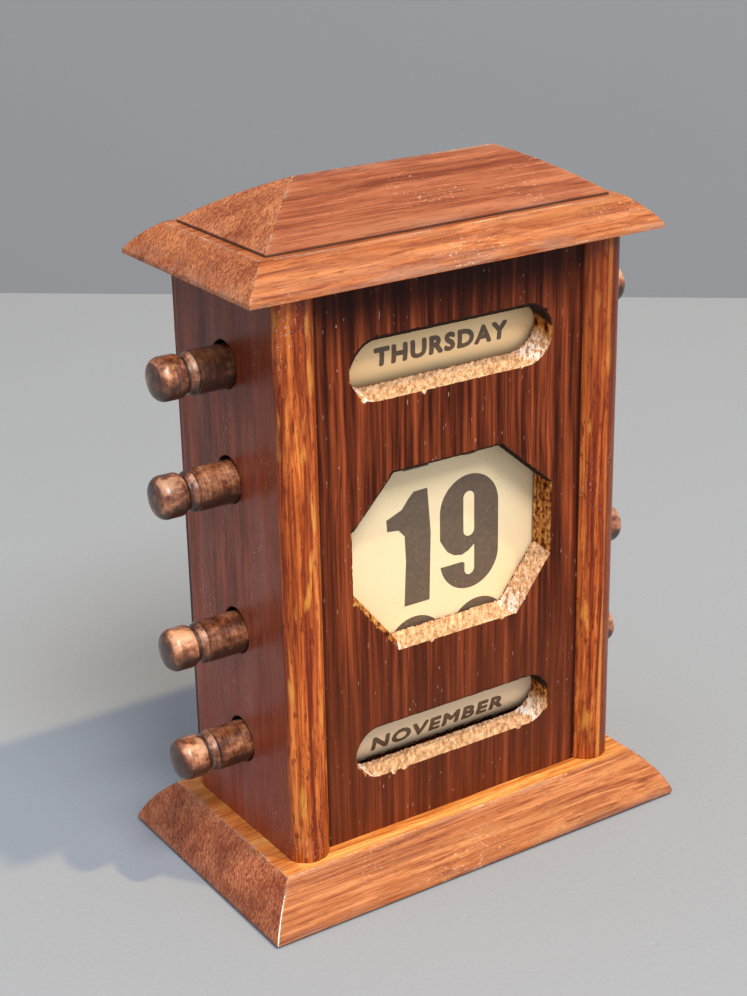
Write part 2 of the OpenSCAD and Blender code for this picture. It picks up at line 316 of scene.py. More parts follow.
def use_group(group, vector, **values):
    """Places a group in the vector's tree and returns its outputs' wires by name."""
    made = add(vector.tree, "ShaderNodeGroup", node_tree=group)
    for key, value in {"Vector": vector, **values}.items():
        feed(made.inputs[key], value)
    return {socket.name: Wire(vector.tree, socket) for socket in made.outputs}


# ---------------------------------------------------------------- noise and colour


def mapped(vector, offset=(0, 0, 0), turn=(0, 0, 0), scale=(1, 1, 1)):
    """The vector scaled, turned and shifted."""
    return wired(vector.tree, "ShaderNodeMapping", {0: vector, 1: offset, 2: turn, 3: scale})


def cloud(vector, scale, offset=(0, 0, 0), detail=2.0, roughness=0.55, contrast=0.22):
    """Noise with scale features per millimetre, along each axis or along all, spread to about 0..1."""
    scale = scale if isinstance(scale, tuple) else (scale, scale, scale)
    sockets = {"Vector": mapped(vector, offset, scale=scale), "Scale": 1.0, "Detail": detail,
               "Roughness": roughness}
    return wired(vector.tree, "ShaderNodeTexNoise", sockets).spread(0.5 - contrast, 0.5 + contrast)


def mixed(*parts, reach=0.3):
    """Weighted sum of (value, weight) pairs whose weights add up to 1, spread out again about 0.5."""
    first, *others = [value * weight for value, weight in parts]
    return sum(others, first).spread(0.5 - reach, 0.5 + reach)


def rgba(colour):
    """A plain colour as a socket takes it."""
    return (*[min(1.0, channel) for channel in colour], 1.0)


def tinted(colour, *gains):
    """A colour with each channel times its own gain, or all of them times one."""
    gains = gains * 3 if len(gains) == 1 else gains
    return tuple(channel * gain for channel, gain in zip(colour, gains))


def blend(share, first, second):
    """A share of the second colour over the first. Each is a wire or a plain colour."""
    first, second = (colour if isinstance(colour, Wire) else rgba(colour) for colour in (first, second))
    return wired(share.tree, "ShaderNodeMix", {0: share, 6: first, 7: second}, 2, data_type="RGBA")


def coats(colour, *layers):
    """Lays (share, colour) coats over a colour, one after the other."""
    for share, coat in layers:
        colour = blend(share, colour, coat)
    return colour


def ramp(value, stops):
    """Output of a Color Ramp with stops of (place, colour)."""
    made = add(value.tree, "ShaderNodeValToRGB", {0: value})
    elements = made.color_ramp.elements
    for element, (place, colour) in zip(elements, (stops[0], stops[-1])):
        element.position = place
        element.color = rgba(colour)
    for place, colour in stops[1:-1]:
        elements.new(place).color = rgba(colour)
    return Wire(value.tree, made.outputs[0])


def shade(stain, level, warmth=1.0):
    """The stain at another depth: darker turns redder, lighter turns yellower."""
    powers = (1.0, 1.0 + 0.6 * warmth, 1.0 + 1.2 * warmth)
    return [min(1.0, channel * level ** power) for channel, power in zip(stain, powers)]


def stain_ramp(tone, stain, low, high, warmth=1.0):
    """Colours of a stain from its darkest to its lightest figure. A tone of 0.5 gives the stain itself."""
    levels = ((0.0, low ** 1.9), (0.22, low), (0.5, 1.0), (0.78, high), (1.0, high ** 1.7))
    return ramp(tone, [(place, shade(stain, level, warmth)) for place, level in levels])


def grain_group():
    """Oak figure: streaks, fibres, dark lines, open pores and ray flecks. Grain along Z, in mm."""
    known = bpy.data.node_groups.get("Oak Grain")
    if known:
        return known
    names = ("Bands", "Streaks", "Fibres", "Lines", "Pores", "Flecks", "Height")
    tree, given, leave = new_group("Oak Grain", "ShaderNodeTree", {
        "Vector": "Vector", "Seed": 0.0, "Waviness": 1.0}, dict.fromkeys(names, "Float"))

    def moved(vector, x, y, z=0.0):
        step = wired(tree, "ShaderNodeCombineXYZ", {0: x, 1: y, 2: z})
        return wired(tree, "ShaderNodeVectorMath", {0: vector, 1: step})

    seed = given["Seed"]
    place = moved(given["Vector"], seed, seed, seed)
    drift = (cloud(place, (0.03, 0.03, 0.02), detail=1.0) - 0.5) * given["Waviness"]
    place = moved(place, drift, drift)
    bands = cloud(place, (0.26, 0.26, 0.007), (3, 1, 6), detail=1.0, contrast=0.19)
    streaks = cloud(place, (0.8, 0.8, 0.02), (3, 9, 1), roughness=0.6, contrast=0.19)
    fibres = cloud(place, (2.3, 2.3, 0.07), (5, 1, 4))
    lines = cloud(place, (1.3, 1.3, 0.03), (7, 2, 9), detail=1.0).spread(0.68, 0.9)
    pores = cloud(place, (3.6, 3.6, 0.3), (2, 6, 8), detail=1.0).spread(0.78, 0.92)
    flecks = cloud(place, (1.0, 1.0, 0.26), (11, 4, 2), roughness=0.65).spread(0.66, 0.84, smooth=True)
    height = fibres * 0.35 + streaks * 0.25 - pores * 0.8
    for key, value in zip(names, (bands, streaks, fibres, lines, pores, flecks, height)):
        feed(leave.inputs[key], value)
    return tree


def wear_group():
    """Where handling has rubbed an edge through: Edge is 1 on an arris and falls to 0 away from it."""
    known = bpy.data.node_groups.get("Worn Edge")
    if known:
        return known
    names = ("Rubbed", "Specks", "Grime")
    tree, given, leave = new_group("Worn Edge", "ShaderNodeTree", {
        "Vector": "Vector", "Edge": 0.0, "Amount": 0.5}, dict.fromkeys(names, "Float"))
    place, edge = given["Vector"], given["Edge"]
    patchy = cloud(place, (0.3, 0.3, 0.14), detail=3.0, roughness=0.7)
    fine = cloud(place, (2.2, 2.2, 1.2), (4, 4, 4))
    pushed = (patchy * 0.5 + edge) + (fine * 0.35 - 0.42)
    rubbed = (pushed - (1.35 - given["Amount"])).spread(0.0, 0.22, smooth=True)
    gather = cloud(place, (0.1, 0.1, 0.05), (9, 2, 5), detail=1.0).spread(0.62, 0.95)
    dots = cloud(place, (1.9, 1.9, 1.2), (1, 8, 6), detail=1.0).spread(0.82, 0.95)
    smear = cloud(place, (0.5, 0.5, 0.06), (6, 6, 2))
    for key, value in zip(names, (rubbed, gather * dots, edge * smear.spread(0.3, 0.75))):
        feed(leave.inputs[key], value)
    return tree


def along_grain(tree, axis="Z"):
    """Object coordinates in millimetres, turned so that the grain runs along Z."""
    turn = (0, 0, 0) if axis == "Z" else (0, -math.pi / 2, 0)
    return mapped(wired(tree, "ShaderNodeTexCoord", output="Object"), turn=turn, scale=(1 / MM,) * 3)


def attribute(tree, name):
    return wired(tree, "ShaderNodeAttribute", output="Fac", attribute_name=name)


def facing(tree):
    """X, Y and Z of the surface's own normal."""
    return split(wired(tree, "ShaderNodeTexCoord", output="Normal"))


def position(tree):
    """X, Y and Z of Object coordinates, in metres."""
    return split(wired(tree, "ShaderNodeTexCoord", output="Object"))


def new_material(name):
    """A material with a Principled shader: (material, tree, shader)."""
    material = bpy.data.materials.new(name)
    material.use_nodes = True
    tree = material.node_tree
    return material, tree, tree.nodes["Principled BSDF"]


def plug(shader, **values):
    """Links or sets the shader's inputs. Underscores in the names stand for spaces."""
    for key, value in values.items():
        feed(shader.inputs[key.replace("_", " ")], value)


def bump(height, depth, strength=0.4):
    """Normal from a height field whose full step is depth metres."""
    return wired(height.tree, "ShaderNodeBump", {"Strength": strength, "Distance": depth, "Height": height})


# ---------------------------------------------------------------- materials

NEAR_BLACK = (0.02, 0.009, 0.006)


def stained_oak(name, stain, end_stain, seed, contrast, lined, wear, specks, golden_top=0.0):
    """Waxed oak with its grain along X: mottled end grain, worn arrises, grime and pale specks."""
    material, tree, shader = new_material(name)
    vector = along_grain(tree, "X")
    normal = facing(tree)
    figure = use_group(grain_group(), vector, Seed=seed, Waviness=3.0)
    tone = mixed((figure["Bands"], 0.3), (figure["Streaks"], 0.42), (figure["Fibres"], 0.28))
    honey = cloud(vector, (0.33, 0.33, 0.018), (seed, 7, 3)).spread(0.55, 1.0, smooth=True)
    colour = coats(stain_ramp(tone, stain, 1 - contrast, 1 + contrast),
                   (honey * 0.55, tinted(stain, 1.25, 1.7, 1.9)),
                   (figure["Lines"] * lined, shade(stain, 0.42)))

    slant = mapped(vector, turn=(0, 0, math.radians(28)))
    chatter = cloud(slant, (0.42, 1.15, 0.3), (3, seed, 3), detail=3.0, roughness=0.65)
    pits = cloud(slant, (1.1, 2.4, 1.0), (6, 3, seed), roughness=0.7)
    broad = cloud(vector, 0.12, (1, seed, 4), detail=1.0)
    end_tone = mixed((chatter, 0.35), (pits, 0.3), (broad, 0.35), reach=0.28)
    ticks = cloud(slant, (0.9, 3.2, 1.4), (2, 9, seed), detail=1.0, contrast=0.16)
    end_colour = coats(stain_ramp(end_tone, end_stain, 0.7, 1.3),
                       (ticks.spread(0.68, 0.9) * broad.spread(0.1, 0.8, 0.25, 0.8), (0.62, 0.23, 0.075)),
                       (ticks.spread(0.3, 0.1, 0.0, 0.7), shade(end_stain, 0.4)))
    end_share = abs(normal[0]).spread(0.28, 0.42, smooth=True)
    colour = blend(end_share, colour, end_colour)

    if golden_top:
        gold = stain_ramp(tone, (0.7, 0.25, 0.05), 0.7, 1.35)
        left = position(tree)[0].spread(-49 * MM, -46 * MM, 0.62, 0.05, smooth=True)
        veil = left * figure["Streaks"].spread(0.1, 0.7)
        gold = blend(veil, gold, tinted(end_stain, 1, 0.6, 0.4))
        colour = blend(normal[2].spread(0.93, 0.985, 0.0, golden_top, smooth=True), colour, gold)

    worn = use_group(wear_group(), vector, Edge=attribute(tree, "arris"), Amount=wear)
    chalk = (pits - 0.5) * 0.35 + attribute(tree, "bare")
    colour = coats(colour,
                   (figure["Pores"] * 0.3, shade(stain, 0.35)),
                   (worn["Grime"] * 0.7, (0.4, 0.22, 0.15)),
                   (worn["Rubbed"] * 0.75, (0.84, 0.55, 0.34)),
                   (worn["Specks"] * specks, (0.92, 0.72, 0.55)),
                   (attribute(tree, "seam") * 0.9, (0.04, 0.015, 0.008)),
                   (chalk.spread(0.5, 0.62), (0.97, 0.85, 0.72)))
    shine = end_share * 0.08 + (figure["Streaks"] * 0.12 + 0.38)
    height = (chatter + pits) * end_share * 1.3 + figure["Height"]
    plug(shader, Base_Color=colour, Roughness=shine.math("ADD", worn["Rubbed"], clamp=True),
         Specular_IOR_Level=0.35, Normal=bump(height, 0.18 * MM, 0.6))
    return material


def sawn_wood(tree, vector, streaks, raw):
    """The unstained wood of a saw cut, by the attributes cut, light and torn: (colour, share, height). The
    attribute light is painted light and shade.
    """
    ragged = cloud(vector, (1.6, 1.6, 0.8), (5, 5, 5), detail=3.0)
    share = ((ragged - 0.5) * 0.4 + attribute(tree, "cut")).spread(0.45, 0.6, smooth=True)
    slant = mapped(vector, turn=(0, 0, math.radians(38)))
    ridges = cloud(slant, (1.2, 0.34, 0.9), (1, 2, 3), detail=3.0, roughness=0.65)
    fibre = cloud(vector, (2.4, 1.8, 1.6), (6, 2, 3), detail=3.0, roughness=0.7)
    nicks = cloud(slant, (2.6, 0.6, 1.6), (4, 7, 5)).spread(0.74, 0.95, 0.0, 0.75)
    pale = stain_ramp(mixed((ridges, 0.7), (fibre, 0.3), reach=0.27), raw, 0.72, 1.22, warmth=0.5)
    pale = blend(nicks, pale, (0.25, 0.1, 0.045))
    layered = cloud(vector, (0.9, 0.9, 0.7), (3, 8, 6), detail=3.0, roughness=0.6)
    streaky = mixed((layered, 0.6), (fibre, 0.2), (streaks, 0.2), reach=0.26)
    wall = stain_ramp(streaky, (0.42, 0.15, 0.03), 0.34, 1.45)
    # Painted shade: where the attribute light is low, on the sawn walls facing down, the wood goes near
    # black; higher values run from the stained upright walls to the pale raw sills.
    light = attribute(tree, "light")
    lit = blend(light.spread(0.55, 0.75, smooth=True), wall, pale)
    sawn = blend(light.spread(0.12, 0.4, smooth=True), (0.022, 0.009, 0.005), lit)
    torn = (ridges - 0.5) * 0.9 + attribute(tree, "torn")
    shard = blend(fibre, (0.72, 0.5, 0.42), (0.97, 0.9, 0.8))
    return blend(torn.spread(0.52, 0.62), sawn, shard), share, (ridges + fibre) * share * 1.8


def striped_oak(name, stain, raw, seed, cut=True):
    """Dark, strongly striped oak, with painted shade under the cornice and along the side boards. Where the
    attribute `cut` is 1 the sawn wood shows.
    """
    material, tree, shader = new_material(name)
    vector = along_grain(tree)
    figure = use_group(grain_group(), vector, Seed=seed, Waviness=1.2)
    stripes = cloud(vector, (0.42, 0.42, 0.009), (seed, 2, 0), detail=1.0, contrast=0.17)
    tone = mixed((stripes, 0.42), (figure["Streaks"], 0.36), (figure["Fibres"], 0.22))
    x, _, z = position(tree)
    # Painted shade: the panel darkens towards the top where the cornice shades it (less on the back panel),
    # and a painted shadow strip runs down both sides beside the noses.
    glimpse = cloud(vector, (0.24, 0.24, 0.03), (seed, 5, 2)).spread(0.95, 0.6, 0.3, 1.0, smooth=True)
    painted_cornice_shade = z.spread(131 * MM, 146 * MM, 0.0, 0.86, smooth=True) * glimpse
    sides = abs(x).spread(SIDE_LOW.x - 1.7 * MM, SIDE_LOW.x - 0.5 * MM, 0.0, 0.8)
    dust = cloud(vector, (2.2, 2.2, 0.4), (8, 1, 5), detail=1.0, contrast=0.3).spread(0.93, 0.98)
    colour = coats(stain_ramp(tone, stain, 0.5, 1.75, warmth=0.25),
                   (figure["Lines"] * 0.6, shade(stain, 0.3)),
                   (z.spread(80 * MM, 35 * MM, 0.0, 0.45, smooth=True), tinted(stain, 1.1, 1.35, 1.9)),
                   (painted_cornice_shade.math("MAXIMUM", sides) if cut else painted_cornice_shade * 0.4, shade(stain, 0.12)),
                   (dust * 0.35, (0.8, 0.6, 0.46)))
    rough = figure["Streaks"] * 0.14 + 0.36
    height = figure["Height"]
    if cut:
        sawn, share, torn = sawn_wood(tree, vector, figure["Streaks"], raw)
        colour = blend(share, colour, sawn)
        rough = share * 0.4 + rough
        height = torn + height
    plug(shader, Base_Color=colour, Roughness=rough, Specular_IOR_Level=0.12,
         Normal=bump(height, 0.14 * MM, 0.5))
    return material


def side_oak(name, nose, flank, seed, split_y):
    """Side board: orange, flecked bull nose in front and dark purple-brown flank behind split_y."""
    material, tree, shader = new_material(name)
    vector = along_grain(tree)
    x, y, z = position(tree)
    figure = use_group(grain_group(), vector, Seed=seed, Waviness=2.0)
    bands, streaks, fibres = figure["Bands"], figure["Streaks"], figure["Fibres"]
    middle = (SIDE_LOW.x + SIDE_HIGH.x) / 2
    patch = cloud(vector, (0.3, 0.3, 0.06), (2, seed, 7))
    # Painted shade: the tops of the noses darken under the cornice, the right nose more.
    painted_nose_shade = z.spread(95 * MM, 150 * MM, smooth=True) * ((x > 0.0) * 0.35 + 0.25)
    line = abs(x - middle).spread(0.25 * MM, 0.7 * MM, 0.8, 0.0) * bands.spread(0.2, 0.5)
    nose_tone = mixed((bands, 0.3), (streaks, 0.42), (fibres, 0.28), reach=0.26)
    nose_colour = coats(
        stain_ramp(nose_tone, nose, 0.6, 1.45),
        (figure["Flecks"] * 0.7, shade(nose, 0.33)),
        (patch.spread(0.72, 0.95, smooth=True) * 0.7, (0.75, 0.32, 0.05)),
        # Painted shade on the outer half of the right nose; the noses also darken towards the bottom.
        (x.spread(middle - 0.2 * MM, middle + 0.9 * MM, 0.0, 0.82, smooth=True), shade(nose, 0.3)),
        (painted_nose_shade, shade(nose, 0.25)),
        (z.spread(45 * MM, 12 * MM, 0.0, 0.3, smooth=True), shade(nose, 0.35)),
        (line, (0.6, 0.22, 0.04)))

    # Painted reflection: reddish patches on the flank stand in for the lit knobs seen in its polish.
    painted_knob_glow = cloud(vector, (0.13, 0.13, 0.035), (6, seed, 3), detail=3.0, roughness=0.6)
    flank_tone = mixed((bands, 0.35), (streaks, 0.3), (fibres, 0.35))
    flank_colour = coats(
        stain_ramp(flank_tone, flank, 0.62, 1.5, warmth=0.4),
        (y.spread(-3 * MM, split_y + 2 * MM, 0.0, 0.75, smooth=True), (0.2, 0.035, 0.01)),
        # Painted light and shade on the flank: lighter towards the bottom, darker towards the top under the
        # cornice.
        (z.spread(85 * MM, 15 * MM, 0.0, 0.55, smooth=True), (0.3, 0.052, 0.02)),
        (painted_knob_glow.spread(0.3, 0.9, 0.0, 0.55, smooth=True), (0.29, 0.085, 0.055)),
        (z.spread(100 * MM, 150 * MM, 0.0, 0.45, smooth=True), shade(flank, 0.25)))

    sway = (patch - 0.5) * (1.2 * MM)
    behind = (y + sway).spread(split_y - 0.6 * MM, split_y + 0.9 * MM, smooth=True)
    worn = use_group(wear_group(), vector, Edge=attribute(tree, "arris"), Amount=0.3)
    colour = coats(blend(behind, nose_colour, flank_colour),
                   (figure["Pores"] * 0.5, shade(flank, 0.3)),
                   (worn["Rubbed"] * 0.5, (0.72, 0.36, 0.14)),
                   (worn["Specks"] * 0.3, (0.8, 0.65, 0.55)),
                   # Painted shade: near black inside the knob holes.
                   (attribute(tree, "hole") * 0.85, NEAR_BLACK))
    plug(shader, Base_Color=colour, Roughness=streaks * 0.1 + 0.26, Specular_IOR_Level=0.3,
         Normal=bump(figure["Height"], 0.09 * MM))
    return material


def polished_knob(name, stain, seed):
    """Polished turned wood: dark stain with copper where it faces up and forward or down and back, partly
    handling wear and partly painted light, and a pale painted highlight on the bulb.
    """
    material, tree, shader = new_material(name)
    vector = along_grain(tree, "X")
    handled = cloud(vector, (0.2, 0.2, 0.16), (seed, 4, 9), detail=3.0, roughness=0.65)
    tight = cloud(vector, (0.8, 0.8, 0.5), (5, seed, 3), detail=3.0, roughness=0.65)
    lathe = cloud(vector, (0.1, 0.1, 2.4), (2, 8, seed), roughness=0.7)
    tone = mixed((handled, 0.45), (tight, 0.3), (lathe, 0.25), reach=0.26)
    copper = stain_ramp(tone, stain, 0.5, 1.6, warmth=0.7)
    normal = facing(tree)
    held = attribute(tree, "held")
    # Painted light and shade mixed with wear: copper where the surface faces up and forward (and, mirrored,
    # down and back), near black between.
    up_front_facing = normal[2] * 0.74 + normal[1] * -0.6
    lit_or_rubbed = up_front_facing.math("MAXIMUM", up_front_facing * -0.85 - 0.1)
    lit_or_rubbed = (handled - 0.5) * 0.55 + (abs(normal[0]) * 0.4 + lit_or_rubbed)
    # The top knob's shank is kept darker.
    top_shank_dimmed = (1.0 - held) * position(tree)[2].spread(112 * MM, 124 * MM, 0.15, 0.6)
    rubbed = lit_or_rubbed.spread(0.28, 1.0, 0.05, 1.0, smooth=True) * (1.0 - top_shank_dimmed)
    colour = coats(blend(rubbed, (0.036, 0.015, 0.0095), copper),
                   # Painted highlight: a pale patch on the bulb where it faces the light.
                   (held * lit_or_rubbed.spread(0.8, 1.1, 0.0, 0.75, smooth=True), (0.66, 0.36, 0.21)),
                   (attribute(tree, "groove") * 0.8, NEAR_BLACK))
    plug(shader, Base_Color=colour, Roughness=tight.spread(0.0, 1.0, 0.26, 0.4), Specular_IOR_Level=0.5,
         Coat_Weight=0.25, Coat_Roughness=0.22, Normal=bump(lathe * 0.6 + tight, 0.05 * MM))
    return material


def turned_wood(name, tint, seed):
    """Bare turned wood of the drums and rollers."""
    material, tree, shader = new_material(name)
    figure = use_group(grain_group(), along_grain(tree, "X"), Seed=seed)
    tone = mixed((figure["Bands"], 0.4), (figure["Streaks"], 0.35), (figure["Fibres"], 0.25))
    colour = blend(figure["Pores"] * 0.5, stain_ramp(tone, tint, 0.75, 1.2), shade(tint, 0.4))
    plug(shader, Base_Color=colour, Roughness=figure["Fibres"] * 0.15 + 0.55,
         Normal=bump(figure["Height"], 0.08 * MM, 0.5))
    return material


def aged_paper(name, paper):
    """Cream paper gone yellow, with fibres, faint stains and a rare speck."""
    material, tree, shader = new_material(name)
    vector = along_grain(tree)
    blotch = cloud(vector, 0.05, (3, 1, 2), detail=3.0)
    fibre = cloud(vector, (1.6, 1.6, 0.5), (6, 2, 1), detail=4.0, roughness=0.7)
    fine = cloud(vector, 5.0, (1, 6, 2))
    spots = cloud(vector, 0.7, (9, 9, 1), detail=1.0, contrast=0.3)
    colour = coats(paper,
                   (blotch * 0.25, tinted(paper, 0.9, 0.82, 0.68)),
                   (fibre * 0.1, tinted(paper, 0.8)),
                   (spots.spread(0.93, 1.0) * 0.45, (0.5, 0.3, 0.12)))
    plug(shader, Base_Color=colour, Roughness=fibre * 0.1 + 0.6, Normal=bump(fine * 0.6 + fibre, 0.03 * MM))
    return material


def faded_ink(name, ink):
    """Printed ink, slightly brown and uneven, with paper showing through in specks."""
    material, tree, shader = new_material(name)
    vector = along_grain(tree)
    mottle = cloud(vector, 0.8, (2, 2, 2), detail=4.0, roughness=0.7)
    bald = cloud(vector, 2.4, (7, 1, 2)).spread(0.93, 1.0)
    colour = coats(ink, (mottle, tinted(ink, 1.7, 1.65, 1.6)), (bald * 0.5, (0.5, 0.38, 0.24)))
    plug(shader, Base_Color=colour, Roughness=mottle * 0.12 + 0.5)
    return material


def old_brass(name):
    """Dull brass with darker tarnish."""
    material, tree, shader = new_material(name)
    tarnish = cloud(along_grain(tree), 0.9, (2, 5, 2), detail=4.0, roughness=0.7)
    plug(shader, Base_Color=blend(tarnish, (0.66, 0.47, 0.2), (0.24, 0.15, 0.06)), Metallic=0.95,
         Roughness=tarnish.spread(0.0, 1.0, 0.26, 0.6), Normal=bump(tarnish, 0.03 * MM))
    return material


def wool_baize(name, tint):
    """Worn green baize: short wool fibres."""
    material, tree, shader = new_material(name)
    vector = along_grain(tree)
    fluff = cloud(vector, 3.0, (2, 1, 2), detail=4.0, roughness=0.8)
    worn = cloud(vector, 0.1, (4, 1, 1), detail=3.0)
    stops = ((0.0, tinted(tint, 0.4)), (0.6, tint), (1.0, tinted(tint, 2.2)))
    plug(shader, Base_Color=ramp(fluff * 0.6 + worn * 0.4, stops), Roughness=fluff * 0.1 + 0.85,
         Sheen_Weight=0.4, Normal=bump(fluff, 0.2 * MM, 0.7))
    return material


def finish(name):
    """The named finish, made at its first use."""
    known = bpy.data.materials.get(name)
    if known:
        return known
    tints = bpy.context.scene.calendar.colours
    split_y = SIDE_LOW.y + bpy.context.scene.calendar.shape.nose_depth
    makers = {
        "Base oak": lambda: stained_oak(
            name, tints.base_stain, end_stain=(0.35, 0.086, 0.031), seed=3.0, contrast=0.3, lined=0.6,
            wear=0.42, specks=0.35, golden_top=0.9),
        "Cornice oak": lambda: stained_oak(
            name, tints.cornice_stain, end_stain=(0.376, 0.1, 0.029), seed=11.0, contrast=0.26, lined=0.5,
            wear=0.4, specks=0.3),
        "Cap oak": lambda: stained_oak(
            name, tints.cap_stain, end_stain=(0.38, 0.107, 0.037), seed=19.0, contrast=0.26, lined=0.5,
            wear=0.34, specks=0.35),
        "Back oak": lambda: striped_oak(name, tints.panel_stain, tints.raw_wood, seed=31.0, cut=False),
        "Panel oak": lambda: striped_oak(name, tints.panel_stain, tints.raw_wood, seed=7.0),
        "Side oak": lambda: side_oak(name, tints.nose_stain, tints.flank_stain, 5.0, split_y),
        "Polished knob": lambda: polished_knob(name, tints.knob_stain, seed=2.0),
        "Turned wood": lambda: turned_wood(name, (0.52, 0.32, 0.16), seed=4.0),
        "Torn fibre": lambda: turned_wood(name, (0.85, 0.68, 0.5), seed=6.0),
        "Aged paper": lambda: aged_paper(name, tints.paper),
        "Weekday paper": lambda: aged_paper(name, tints.weekday_paper_painted_light),
        "Month paper": lambda: aged_paper(name, tints.month_label),
        "Faded ink": lambda: faded_ink(name, tints.ink),
        "Old brass": lambda: old_brass(name),
        "Wool baize": lambda: wool_baize(name, tints.baize),
    }
    return makers[name]()


# ---------------------------------------------------------------- mesh helpers


def settle(piece, material, body, slot_name, *nodes, smooth=True):
    """Gives a finished piece its material and body and hides the CAD nodes it stands for. Its record slot
    name is not used.
    """
    piece.data.materials.clear()
    piece.data.materials.append(finish(material))
    piece.data.polygons.foreach_set("use_smooth", [smooth] * len(piece.data.polygons))
    if smooth:
        piece.data.set_sharp_from_angle(angle=math.radians(38))
    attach(piece, body)
    if nodes:
        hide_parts(*nodes)
    return piece


def linked(name, data):
    """New object of the scene with that data."""
    made = bpy.data.objects.new(name, data)
    bpy.context.scene.collection.objects.link(made)
    return made


def object_from(name, build):
    """New object at the origin from a filled bmesh, with doubles merged and normals outward."""
    bmesh.ops.remove_doubles(build, verts=build.verts, dist=1e-7)
    bmesh.ops.dissolve_degenerate(build, edges=build.edges, dist=1e-8)
    bmesh.ops.recalc_face_normals(build, faces=build.faces)
    mesh = bpy.data.meshes.new(name)
    build.to_mesh(mesh)
    build.free()
    return linked(name, mesh)


def paint(piece, name, rule):
    """Stores rule(point) of every vertex as a named float attribute."""
    store = piece.data.attributes.new(name, "FLOAT", "POINT")
    store.data.foreach_set("value", [float(rule(vertex.co)) for vertex in piece.data.vertices])


def evaluated_mesh(piece):
    """Replaces the object's mesh by its evaluated one and drops its modifiers."""
    bpy.context.view_layer.update()
    graph = bpy.context.evaluated_depsgraph_get()
    mesh = bpy.data.meshes.new_from_object(piece.evaluated_get(graph), depsgraph=graph)
    piece.modifiers.clear()
    piece.data = mesh
    return piece


def evenly(low, high, count):
    """The ends of count equal steps from low to high."""
    return [low + (high - low) * i / count for i in range(count + 1)]


def stitch(build, rings):
    """Joins closed rings of points, given in order, with quads. Returns the rings' vertices."""
    made = [[build.verts.new(point) for point in ring] for ring in rings]
    for lower, upper in zip(made, made[1:]):
        for i in range(len(lower)):
            j = (i + 1) % len(lower)
            build.faces.new((lower[i], lower[j], upper[j], upper[i]))
    return made


def tube(build, rings):
    """Joins rings of points and closes the first and the last with a face."""
    made = stitch(build, rings)
    build.faces.new(made[0])
    build.faces.new(made[-1])


def circle(centre, radius, count):
    """Points round a circle."""
    turns = [math.tau * i / count for i in range(count)]
    return [(centre[0] + radius * math.cos(turn), centre[1] + radius * math.sin(turn)) for turn in turns]


def flat_fill(solid, holes):
    """Triangles inside the outlines in solid and outside those in holes: (points, index triples)."""
    points, loops = [], []
    for outline in [*solid, *holes]:
        loops.append(list(range(len(points), len(points) + len(outline))))
        points += [Vector(point) for point in outline]
    found = delaunay_2d_cdt(points, [], loops, 1, 1e-9)
    keep = [face for face, owners in zip(found[2], found[5])
            if owners and all(owner < len(solid) for owner in owners)]
    return found[0], keep


def pierced_face(build, y, outline, holes):
    """Fills an outline with holes in it, all of them (x, z) points at that y."""
    points, faces = flat_fill([outline], holes)
    made = [build.verts.new((point.x, y, point.y)) for point in points]
    for face in faces:
        build.faces.new([made[i] for i in face])


def rough(point, scale, seed=0.0):
    """Smooth noise from -1 to 1 at a point in metres; scale is in features per millimetre."""
    return noise.noise(Vector(point) * (scale / MM) + Vector((seed, seed * 1.7, seed * 0.3)))


# ---------------------------------------------------------------- moulded boards


def spaced(length, fine, coarse, margin):
    """Distances from 0 to length, close together within margin of both ends."""
    margin = min(margin, length / 3)
    near = max(2, round(margin / fine))
    far = max(2, round((length - 2 * margin) / coarse))
    first = [margin * i / near for i in range(near)]
    middle = [margin + (length - 2 * margin) * i / far for i in range(far)]
    return first + middle + [length - distance for distance in reversed(first)] + [length]


def worn_rectangle(half_x, half_y, shares_x, shares_y, corner):
    """Points round a rectangle with rounded corners, from its front left corner, going right."""
    corner = min(corner, half_x, half_y)
    inner_x, inner_y = half_x - corner, half_y - corner
    sides = (
        [(-inner_x + 2 * inner_x * share, -half_y) for share in shares_x],
        [(half_x, -inner_y + 2 * inner_y * share) for share in shares_y],
        [(inner_x - 2 * inner_x * share, half_y) for share in shares_x],
        [(-half_x, inner_y - 2 * inner_y * share) for share in shares_y],
    )
    middles = ((inner_x, -inner_y), (inner_x, inner_y), (-inner_x, inner_y), (-inner_x, -inner_y))
    points = []
    for number, (side, middle) in enumerate(zip(sides, middles)):
        points += side
        for step in (1, 2, 3):
            turn = math.pi / 2 * (number - 1 + step / 4)
            points.append((middle[0] + corner * math.cos(turn), middle[1] + corner * math.sin(turn)))
    return points


def bevel_curve(run, lip, top, bulge, steps):
    """Shares of run and heights along a moulded edge: an upright lip, then a bulging slope."""
    chord = math.hypot(run, top - lip)
    points = [(0.0, 0.0), (0.0, lip * 0.5)]
    for distance in steps:
        share = distance / steps[-1]
        out = 4 * bulge * share * (1 - share)
        inset = run * share - out * (top - lip) / chord
        points.append((inset / run, lip + (top - lip) * share + out * run / chord))
    return points


